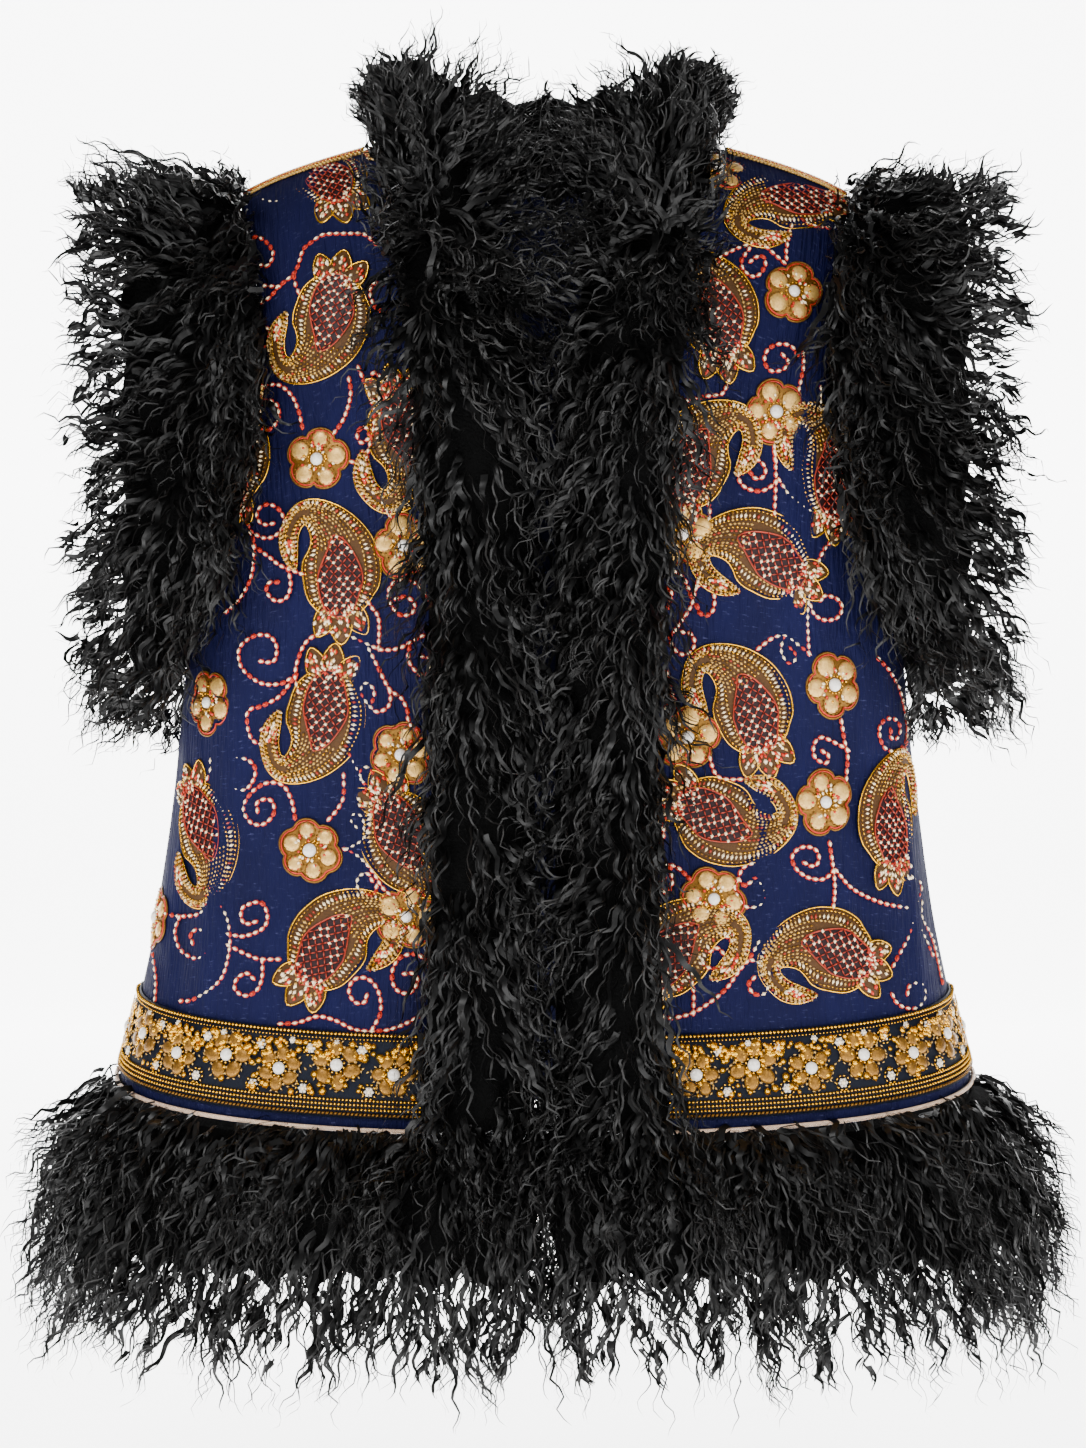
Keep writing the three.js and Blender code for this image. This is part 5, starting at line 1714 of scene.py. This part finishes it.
@dataclass(frozen=True)
class FurTrim:
    """A strip of long curly wool: a dark pelt under locks that are combed one way.

    The locks are clumps of flat wavy strands that draw together at their tips.
    """

    node: str
    side: int
    seed: int
    length: tuple[float, float] = (55.0, 75.0)
    clumps_per_cm2: float = 0.8
    strands: int = 3
    steps: int = 13
    sink: float = 8.0
    spread: float = 2.1
    wave: tuple[float, float] = (17.0, 28.0)
    curl: tuple[float, float] = (2.4, 5.8)
    strand: tuple[float, float] = (0.7, 1.2)
    broad: float = 3.0
    stray: float = 0.24
    quick_share: float = 0.25
    shortest: float = 16.0

    def skin(self) -> tuple[Array, Array]:
        """Return the corners and outward directions of the solid's triangles."""
        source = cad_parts[self.node].data
        source.calc_loop_triangles()
        points = np.empty(len(source.vertices) * 3)
        source.vertices.foreach_get("co", points)
        corners = np.empty(len(source.loop_triangles) * 3, dtype=np.int32)
        source.loop_triangles.foreach_get("vertices", corners)
        sides = (points.reshape(-1, 3) / MM)[corners].reshape(-1, 3, 3)
        return sides, np.cross(sides[:, 1] - sides[:, 0], sides[:, 2] - sides[:, 0])

    def cover(self, centres: Array, outs: Array) -> Array:
        """Return how thickly fur grows on each triangle, 0 where it faces the cloth."""
        return np.ones(len(centres))

    def comb(self, roots: Array, outs: Array) -> Array:
        """Return the way the fur is combed at each root."""
        return np.tile([0.0, 0.0, -1.0], (len(roots), 1))

    def cut(self, rng: Random, roots: Array, heads: Array, long: Array) -> Array:
        """Return the clumps' lengths, shortened where they would stand out too far."""
        return long

    def edge(self, roots: Array) -> Array:
        """Return how near each root is to the seam that the fur is combed away from."""
        return np.zeros(len(roots))

    def tuck(self, points: Array) -> Array:
        """Draw the pelt's own points in where only the locks reach."""
        return points

    def stir(self, roots: Array) -> Array:
        """Return how far the locks leave the comb, against the rest of the fur."""
        return np.ones(len(roots))

    def swirl(self, roots: Array) -> Array:
        """Return a way that neighbouring locks lean together."""
        x, y, z = roots.T + self.seed
        return rows(np.sin(x / 11 + z / 19), np.cos(y / 13 - z / 23), np.sin(z / 12 + x / 17))

    def room(self, gap: Array, pace: Array, long: Array) -> Array:
        """Shorten lengths to a gap that is crossed at a pace, where they head for it."""
        reach = np.maximum(gap / np.maximum(pace, 0.1), self.shortest)
        return np.where(pace > 0.1, np.minimum(long, reach), long)

    def pelt(self, mesh: Mesh) -> None:
        """Add the pelt, the solid's skin drawn in by the depth of the fur."""
        bm = bmesh.new()
        bm.from_mesh(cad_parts[self.node].data)
        bmesh.ops.remove_doubles(bm, verts=bm.verts[:], dist=1e-5)
        bmesh.ops.triangulate(bm, faces=bm.faces[:])
        bmesh.ops.recalc_face_normals(bm, faces=bm.faces[:])
        bm.normal_update()
        bm.verts.index_update()
        points = np.array([(v.co - v.normal * self.sink * 0.75 * MM)[:] for v in bm.verts]) / MM
        faces = np.array([[v.index for v in face.verts] for face in bm.faces])
        bm.free()
        mesh.add(self.tuck(points), faces, PELT)

    def roots(self, rng: Random) -> tuple[Array, Array]:
        """Pick the roots of the clumps, evenly by area."""
        sides, normals = self.skin()
        area = np.linalg.norm(normals, axis=1) / 2
        outs = unit(normals)
        weight = area * self.cover(sides.mean(axis=1), outs)
        density = self.clumps_per_cm2 * 1.0
        count = int(weight.sum() / 100 * density)
        pick = rng.choice(len(sides), count, p=weight / weight.sum())
        a, b = np.sqrt(rng.random(count))[:, None], rng.random(count)[:, None]
        corner = sides[pick]
        return (1 - a) * corner[:, 0] + a * (1 - b) * corner[:, 1] + a * b * corner[:, 2], outs[pick]

    def limits(self) -> tuple[Array, Array]:
        """Return the box that strands stay in, a little past the solids' box."""
        low, high = np.array(CAD_BOX[0]) / MM, np.array(CAD_BOX[1]) / MM
        room = (high - low) * 0.026 + 9
        return low - room, high + room

    def grow(self, mesh: Mesh, rng: Random) -> None:
        """Grow the locks."""
        roots, outs = self.roots(rng)
        heads = unit(self.comb(roots, outs) + self.stir(roots)[:, None] * self.stray
                     * (self.swirl(roots) + rng.normal(0, 0.7, roots.shape)))
        clumps, steps = len(roots), self.steps
        of = np.repeat(np.arange(clumps), self.strands)
        count = len(of)
        core = np.arange(count) % self.strands == 0
        spread = rng.normal(0, self.spread, (count, 3)) * np.where(core, 0.3, 1.0)[:, None]
        spread -= (spread * outs[of]).sum(axis=1, keepdims=True) * outs[of]
        edge = self.edge(roots)[of][:, None]
        depth = self.sink * rng.uniform(0.55, 1.05, (count, 1)) * mix(1.0, 0.3, edge)
        base = roots[of] - outs[of] * depth - heads[of] * mix(4.0, 9.0, edge) + spread
        start = unit(outs[of] * 0.5 + heads[of] * 0.8 + rng.normal(0, 0.15, (count, 3)))
        end = unit(heads[of] + outs[of] * 0.1 + rng.normal(0, 0.1, (count, 3)))
        long = self.cut(rng, roots, heads, rng.uniform(*self.length, clumps))
        long = long[of] * rng.uniform(0.7, 1.08, count)
        t = np.linspace(0, 1, steps + 1)[None, :, None]
        turn = ease(0, 0.35, t)
        ways = unit(start[:, None] * (1 - turn) + end[:, None] * turn)
        line = base[:, None] + np.cumsum(ways, axis=1) * (long / steps)[:, None, None]
        line -= spread[:, None] * 0.75 * t
        first = unit(np.cross(end, rng.normal(0, 1, (clumps, 3))[of]))
        second = np.cross(end, first)
        phase = rng.uniform(0, math.tau, clumps)[of] + rng.normal(0, 0.3, count)
        wave = rng.uniform(*self.wave, clumps)[of] * rng.uniform(0.9, 1.1, count)
        # A lock's strands share its phase and its pitch, so they curl as one
        angle = math.tau * (long / wave)[:, None, None] * t + phase[:, None, None]
        swing = rng.uniform(*self.curl, clumps)[of][:, None, None] * (0.15 + 0.85 * t ** 0.7)
        line += swing * (np.cos(angle) * first[:, None] + 0.6 * np.sin(angle) * second[:, None])
        line = self.within(line)
        self.ribbons(mesh, rng, line, outs[of], t, core)

    def within(self, line: Array) -> Array:
        """Shorten the strands that would leave the box."""
        low, high = self.limits()
        base, reach = line[:, :1], line - line[:, :1]
        room = np.where(reach > 0, high - base, base - low)
        fit = (np.maximum(room, 1) / np.maximum(np.abs(reach), 1e-3)).min(axis=(1, 2))
        return base + reach * np.minimum(fit, 1)[:, None, None]

    def ribbons(self, mesh: Mesh, rng: Random, line: Array, outs: Array, t: Array, core: Array) -> None:
        """Turn the strands' lines into flat tapering ribbons.

        Args:
            mesh: The mesh that gets them.
            rng: The piece's own random numbers.
            line: For each strand its points.
            outs: For each strand the way out of the pelt at its root.
            t: Shares along a strand.
            core: Which strands are the broad hearts of their locks, kept dark as painted shade.
        """
        count, rings = line.shape[:2]
        ahead = unit(np.gradient(line, axis=1))
        roll = rng.normal(0, 0.5, (count, 1, 1)) + rng.normal(0, 1.3, (count, 1, 1)) * t
        flat = unit(np.cross(ahead, np.broadcast_to(outs[:, None], line.shape)))
        rise = np.cross(ahead, flat)
        across = flat * np.cos(roll) + rise * np.sin(roll)
        half = rng.uniform(*self.strand, (count, 1, 1)) * (1 - 0.85 * t ** 1.6) * (0.7 + 0.3 * t)
        half *= np.where(core[:, None, None], self.broad * (1 - 0.6 * t), 1.0)
        edge = np.stack([line - across * half, line + across * half], axis=2)
        points = np.concatenate([edge[:, :-1].reshape(count, -1, 3), line[:, -1:]], axis=1)
        k = np.arange(rings - 2) * 2
        one = np.concatenate([np.stack([k, k + 1, k + 3], 1), np.stack([k, k + 3, k + 2], 1),
                              [[2 * rings - 4, 2 * rings - 3, 2 * rings - 2]]])
        size = 2 * rings - 1
        faces = (one[None] + (np.arange(count) * size)[:, None, None]).reshape(-1, 3)
        # Tone varies at random from strand to strand and rises towards the tip as a painted highlight; the
        # cores keep a tenth of it as painted shade
        share = np.append(np.repeat(t[0, :-1, 0], 2), 1.0)
        tone = rng.beta(1.3, 3.2, count)[:, None] * (0.35 + 0.65 * share[None])
        tone *= np.where(core, 0.1, 1.0)[:, None]
        mesh.add(points.reshape(-1, 3), faces, WOOL, tone.ravel())

    def dress(self) -> Piece:
        """Build the strip in place of its solid."""
        rng = np.random.default_rng(self.seed)
        mesh = Mesh((PELT, WOOL))
        self.pelt(mesh)
        self.grow(mesh, rng)
        return settle(mesh.build(self.node + "_wool"), self.node)


@dataclass(frozen=True)
class FurBand(FurTrim):
    """The fur down one front edge, which parts from the other at the middle."""

    parting_z: float = -78.0
    parting_spread: float = 62.0

    def cover(self, centres: Array, outs: Array) -> Array:
        """Return no fur under the band, and less on the side that meets the other band."""
        x, y, z = centres.T
        hidden = (outs[:, 1] > 0.35) & (z < -20)
        meeting = (np.abs(x) < 3) & (z < -190)
        cap = (outs[:, 1] > 0.9) & (y > -1.5)
        return np.where(hidden | cap, 0.0, np.where(meeting, 0.15, 1 + 1.5 * self.edge(centres)))

    def comb(self, roots: Array, outs: Array) -> Array:
        """Return a comb down and to the middle, which turns sideways and up round the neck."""
        x, _, z = roots.T
        outer = ease(0.45, 0.95, np.abs(x) / BODY.front_edge.at(z))
        turn = mix(-1.35, 1.15, ease(-150, -5, z))
        away = self.side * mix(-2.0, 0.8, outer) * np.cos(turn)
        return unit(rows(away, -0.2, np.sin(turn)))

    def edge(self, roots: Array) -> Array:
        """Return how near each root is to the parting where the fur turns up to the neck."""
        return np.exp(-((roots[:, 2] - self.parting_z) / self.parting_spread) ** 2)

    def stir(self, roots: Array) -> Array:
        """Return wilder locks at the parting than down the front."""
        return 1 + 2.0 * self.edge(roots)

    def cut(self, rng: Random, roots: Array, heads: Array, long: Array) -> Array:
        """Return lengths that keep the neck's fur in two ragged peaks."""
        x, _, z = roots.T
        peak = (54 if self.side < 0 else 42) + rng.random(len(x)) ** 1.5 * 30
        peak = peak - 32 * ease(78, 114, np.abs(x))
        long = self.room(peak - z, heads[:, 2], long)
        side = rng.uniform(108, 130, len(x)) + 8 * ease(-60, -110, z)
        return self.room(side - np.abs(x), heads[:, 0] * self.side, long)


@dataclass(frozen=True)
class FurCollar(FurTrim):
    """The fur round the back of the neck."""

    def cover(self, centres: Array, outs: Array) -> Array:
        """Return no fur on the two ends that meet the bands."""
        return np.where((outs[:, 1] < -0.95) & (centres[:, 1] < 1.5), 0.0, 1.0)

    def comb(self, roots: Array, outs: Array) -> Array:
        """Return a comb up and away from the neck, and down on the inside."""
        x, y, _ = roots.T
        away = unit(rows(x * 0.7, y - 20, 0.0))
        inside = ease(0.2, -0.6, (outs * away).sum(axis=1))[:, None]
        outer = away * 0.6 + np.array([0.0, 0.0, 0.75])
        inner = away * -0.1 + np.array([0.0, -0.15, -0.85])
        return unit(outer * (1 - inside) + inner * inside)

    def cut(self, rng: Random, roots: Array, heads: Array, long: Array) -> Array:
        """Return lengths that keep the collar low behind and higher at its sides."""
        x, _, z = roots.T
        peak = mix(38, 56, ease(45, 90, np.abs(x))) + rng.random(len(x)) ** 1.5 * 20
        long = self.room(peak - z, heads[:, 2], long)
        side = rng.uniform(110, 132, len(x))
        return self.room(side - np.abs(x), heads[:, 0] * np.sign(x), long)


@dataclass(frozen=True)
class FurArmhole(FurTrim):
    """The tube of fur round one armhole."""

    hole_z: float = -195.0
    sleeve_x: float = 250.0
    low_end_z: float = -352.0

    def cover(self, centres: Array, outs: Array) -> Array:
        """Return little fur inside the tube and none against the body."""
        x, y, z = centres.T
        inside = (outs * unit(rows(0.0, y, z - self.hole_z))).sum(axis=1) < -0.35
        near = np.abs(x) < 262
        facing_body = outs[:, 0] * self.side < -0.6
        edge = (1 + 1.1 * (np.abs(x) < 222)) * np.where(y > 30, 0.6, 1.0)
        edge *= 1 + 0.5 * (np.abs(x) > self.sleeve_x)
        return np.where(inside & near, 0.0, np.where(facing_body, 0.35, np.where(inside, 0.3, edge)))

    def comb(self, roots: Array, outs: Array) -> Array:
        """Return a comb out along the arm, up at the top and down below."""
        _, y, z = roots.T
        radial, near = unit(rows(0.0, y, (z + 150) * 0.8)), self.edge(roots)
        inner = ((outs * radial).sum(axis=1) < -0.3)[:, None]
        way = np.array([self.side * 0.85, 0.0, -0.35]) * rows(1 - 0.9 * near, 0.0, 1 + 1.2 * near)
        lift = np.where(inner, 0.0, 0.5 + 0.5 * ease(-70, -40, z)[:, None])
        return unit(way + lift * radial)

    def stir(self, roots: Array) -> Array:
        """Return rather wild locks."""
        return np.full(len(roots), 1.4)

    def edge(self, roots: Array) -> Array:
        """Return how near each root is to the armhole's seam."""
        return 1 - ease(215, 246, np.abs(roots[:, 0]) + 0.12 * (roots[:, 2] + 200))

    def tuck(self, points: Array) -> Array:
        """Draw the pelt in from the ragged end at the arm."""
        out, low = points[:, 0] * self.side, points[:, 2]
        points[:, 0] = self.side * np.minimum(out, mix(self.sleeve_x, out, 0.4))
        points[:, 2] = np.maximum(low, mix(self.low_end_z, low, 0.3))
        return points

    def cut(self, rng: Random, roots: Array, heads: Array, long: Array) -> Array:
        """Return lengths that end in a ragged edge at the arm and below it."""
        x, _, z = roots.T
        end = 291 + rng.random(len(x)) ** 1.6 * 31
        long = self.room(end - np.abs(x), heads[:, 0] * self.side, long)
        long = self.room(z + rng.uniform(386, 410, len(x)), -heads[:, 2], long)
        return self.room(-rng.uniform(4, 30, len(x)) - z, heads[:, 2], long)


@dataclass(frozen=True)
class FurHem(FurTrim):
    """The fur that hangs from the hem."""

    front_end_z: float = -704.0
    back_end_z: float = -688.0
    wisps_z: float = -748.0

    def cover(self, centres: Array, outs: Array) -> Array:
        """Return less fur on the inside of the hem."""
        away = unit(centres * np.array([0.35, 1.0, 0.0]))
        inside = (outs * away).sum(axis=1) < -0.2
        top = 1 + 1.5 * (centres[:, 2] > -668) + 1.1 * (centres[:, 2] < -700)
        return np.where(inside, 0.15, top)

    def comb(self, roots: Array, outs: Array) -> Array:
        """Return a comb down that fans a little to the sides."""
        x, y, _ = roots.T
        fan = rows(x / 316 * 0.3, y / 160 * 0.12, -1.0)
        return unit(fan + 0.5 * self.edge(roots)[:, None] * outs)

    def edge(self, roots: Array) -> Array:
        """Return how near each root is to the hem's seam."""
        share = np.clip(1 - (roots[:, 0] / 285) ** 2, 0, 1) ** 0.5
        return 1 - ease(8, 42, BODY.hem_side_z - BODY.hem_drop * share - roots[:, 2])

    def tuck(self, points: Array) -> Array:
        """Draw the pelt up from the wisps at its lower edge."""
        low, end = points[:, 2], self.front_end_z if self.side else self.back_end_z
        points[:, 2] = np.maximum(low, mix(end, low, 0.3))
        return points

    def cut(self, rng: Random, roots: Array, heads: Array, long: Array) -> Array:
        """Return lengths that end in wisps some way above the floor."""
        end = self.wisps_z - rng.random(len(roots)) ** 1.9 * 68
        return self.room(roots[:, 2] - end, -heads[:, 2], long)


FUR = (
    FurBand("fur_band_left", -1, 11), FurBand("fur_band_right", 1, 12),
    FurCollar("fur_collar", 0, 13, clumps_per_cm2=0.6),
    FurArmhole("fur_armhole_left", -1, 14, (50, 76), 0.74),
    FurArmhole("fur_armhole_right", 1, 15, (50, 76), 0.74),
    FurHem("fur_hem_front_left", -1, 16, (60, 90), 0.55),
    FurHem("fur_hem_front_right", 1, 17, (60, 90), 0.55),
    FurHem("fur_hem_back", 0, 18, (65, 95), 0.24),
)

LEFT_CREASES = (
    Crease(-95, -60, -330, -12, 9, -1.6), Crease(-170, -150, -420, 10, 12, -2.2),
    Crease(-118, -260, -560, -6, 8, 1.8), Crease(-205, -330, -600, -25, 14, 2.4),
    Crease(-150, -400, -600, 4, 9, -1.9), Crease(-245, -420, -600, -8, 12, -2.0),
)
RIGHT_CREASES = (
    Crease(112, -70, -300, 8, 10, -1.8), Crease(165, -120, -400, -8, 12, 2.1),
    Crease(95, -300, -560, 5, 9, -1.6), Crease(200, -320, -600, 22, 13, -2.3),
    Crease(140, -380, -600, 6, 10, 1.9), Crease(250, -400, -600, 12, 12, 2.2),
)
BACK_CREASES = (
    Crease(-150, -120, -420, -8, 12, -2.2), Crease(-60, -200, -560, 6, 10, 1.7),
    Crease(35, -90, -380, -5, 9, -1.8), Crease(120, -260, -600, 12, 13, 2.3),
    Crease(215, -300, -600, 14, 12, -2.1), Crease(-235, -330, -600, -14, 13, 2.0),
    Crease(-20, -420, -600, 3, 10, -1.5),
)


@dataclass(frozen=True)
class Studio:
    """The plain pale room and the camera, in metres."""

    floor_z: float = -0.86
    distance: float = 2.8
    aim: tuple[float, float] = (-0.0013, -0.3796)
    frame_height: float = 0.9412
    sensor: float = 36.0
    half_room: tuple[float, float] = (5.0, 4.0)
    bend: float = 0.9
    wall_top: float = 4.0

    def sweep(self) -> Piece:
        """Build the floor that curves up into a wall behind."""
        bm = bmesh.new()
        wide, deep = self.half_room
        line = [(-deep, self.floor_z), (deep, self.floor_z)]
        line += [(deep + self.bend * math.sin(a), self.floor_z + self.bend * (1 - math.cos(a)))
                 for a in np.linspace(0.1, math.pi / 2, 12)]
        line.append((deep + self.bend, self.wall_top))
        edges = [[bm.verts.new((x, y, z)) for x in (-wide, wide)] for y, z in line]
        for low, high in zip(edges, edges[1:]):
            bm.faces.new((low[0], low[1], high[1], high[0])).smooth = True
        mesh = bpy.data.meshes.new("studio_sweep")
        bm.to_mesh(mesh)
        bm.free()
        mesh.materials.append(FLOOR.material())
        return linked("studio_sweep", mesh)

    def lamp(self, name: str, place: tuple, aim: tuple, power: float, size: float) -> Piece:
        """Hang a soft square lamp."""
        data = bpy.data.lights.new(name, "AREA")
        data.energy, data.size = power, size
        lamp = linked(name, data)
        lamp.location = place
        lamp.rotation_euler = (Vector(aim) - Vector(place)).to_track_quat("-Z", "Y").to_euler()
        return lamp

    def build(self) -> None:
        """Build the room, the lamps and the camera."""
        world = bpy.data.worlds.new("studio_world")
        bpy.context.scene.world = world
        world.use_nodes = True
        sky = world.node_tree.nodes["Background"].inputs
        sky["Color"].default_value, sky["Strength"].default_value = linear("#ffffff"), 0.4
        lamps = [
            self.lamp("key_lamp", (-1.3, -2.0, 1.2), (0, 0, -0.35), 62, 1.0),
            self.lamp("fill_lamp", (1.6, -1.9, 0.5), (0, 0, -0.4), 30, 1.2),
            self.lamp("wall_lamp", (0, 2.4, 2.4), (0, 4.9, 0.0), 120, 1.8),
        ]
        data = bpy.data.cameras.new("photo_camera")
        data.sensor_fit, data.sensor_height = "VERTICAL", self.sensor
        data.lens = self.sensor * self.distance / self.frame_height
        data.clip_end = 30
        camera = linked("photo_camera", data)
        camera.location = (self.aim[0], -self.distance, self.aim[1])
        camera.rotation_euler = (math.pi / 2, 0, 0)
        bpy.context.scene.camera = camera
        self.sweep()


@dataclass
class Gilet:
    """The whole gilet, piece by piece."""

    pieces: list[Piece] = field(default_factory=list)

    def cloth(self) -> None:
        """Make the three panels with their needlework."""
        repeat = BackRepeat()
        plans = (
            ("front_left", Panel(-1), LEFT_CREASES, LEFT_MOTIFS, LEFT_VINES, 21),
            ("front_right", Panel(1), RIGHT_CREASES, RIGHT_MOTIFS, RIGHT_VINES, 22),
            ("back", Panel(0), BACK_CREASES, repeat.motifs(), repeat.vines(), 23),
        )
        for node, panel, creases, motifs, vines, seed in plans:
            columns, rows = (40, 66) if panel.side else (72, 66)
            cloth = ClothPanel(node, panel, creases, columns, rows).dress()
            work = Needlework(panel, seed).dress(motifs, vines, node + "_needlework")
            self.pieces += [cloth, work]

    def borders(self) -> None:
        """Make the borders and the piping, and the small trims."""
        for name, side, seed in (("front_left", -1, 31), ("front_right", 1, 32), ("back", 0, 33)):
            nodes = (f"hem_border_{name}", f"hem_piping_{name}")
            self.pieces += Border(f"border_{name}", Panel(side), nodes, seed).dress()
        for side, name in ((-1, "left"), (1, "right")):
            self.pieces.append(ShoulderTrim(side, f"shoulder_trim_{name}").dress())
        self.pieces.append(HangerLoop().dress())

    def fur(self) -> None:
        """Make the fur trims."""
        for trim in FUR:
            self.pieces.append(trim.dress())

    def build(self) -> None:
        """Make everything."""
        self.cloth()
        self.borders()
        self.fur()
        total = 0
        for piece in self.pieces:
            corners = sum(len(face.vertices) - 2 for face in piece.data.polygons)
            count = corners * (2 if piece.modifiers else 1)
            total += count
            LOG.info("%s: %d triangles", piece.name, count)
        LOG.info("in all: %d triangles", total)


def main() -> None:
    """Build the gilet and its studio."""
    logging.basicConfig(level=logging.INFO, format="%(message)s")
    Gilet().build()
    Studio().build()


if __name__ == "__main__":
    main()
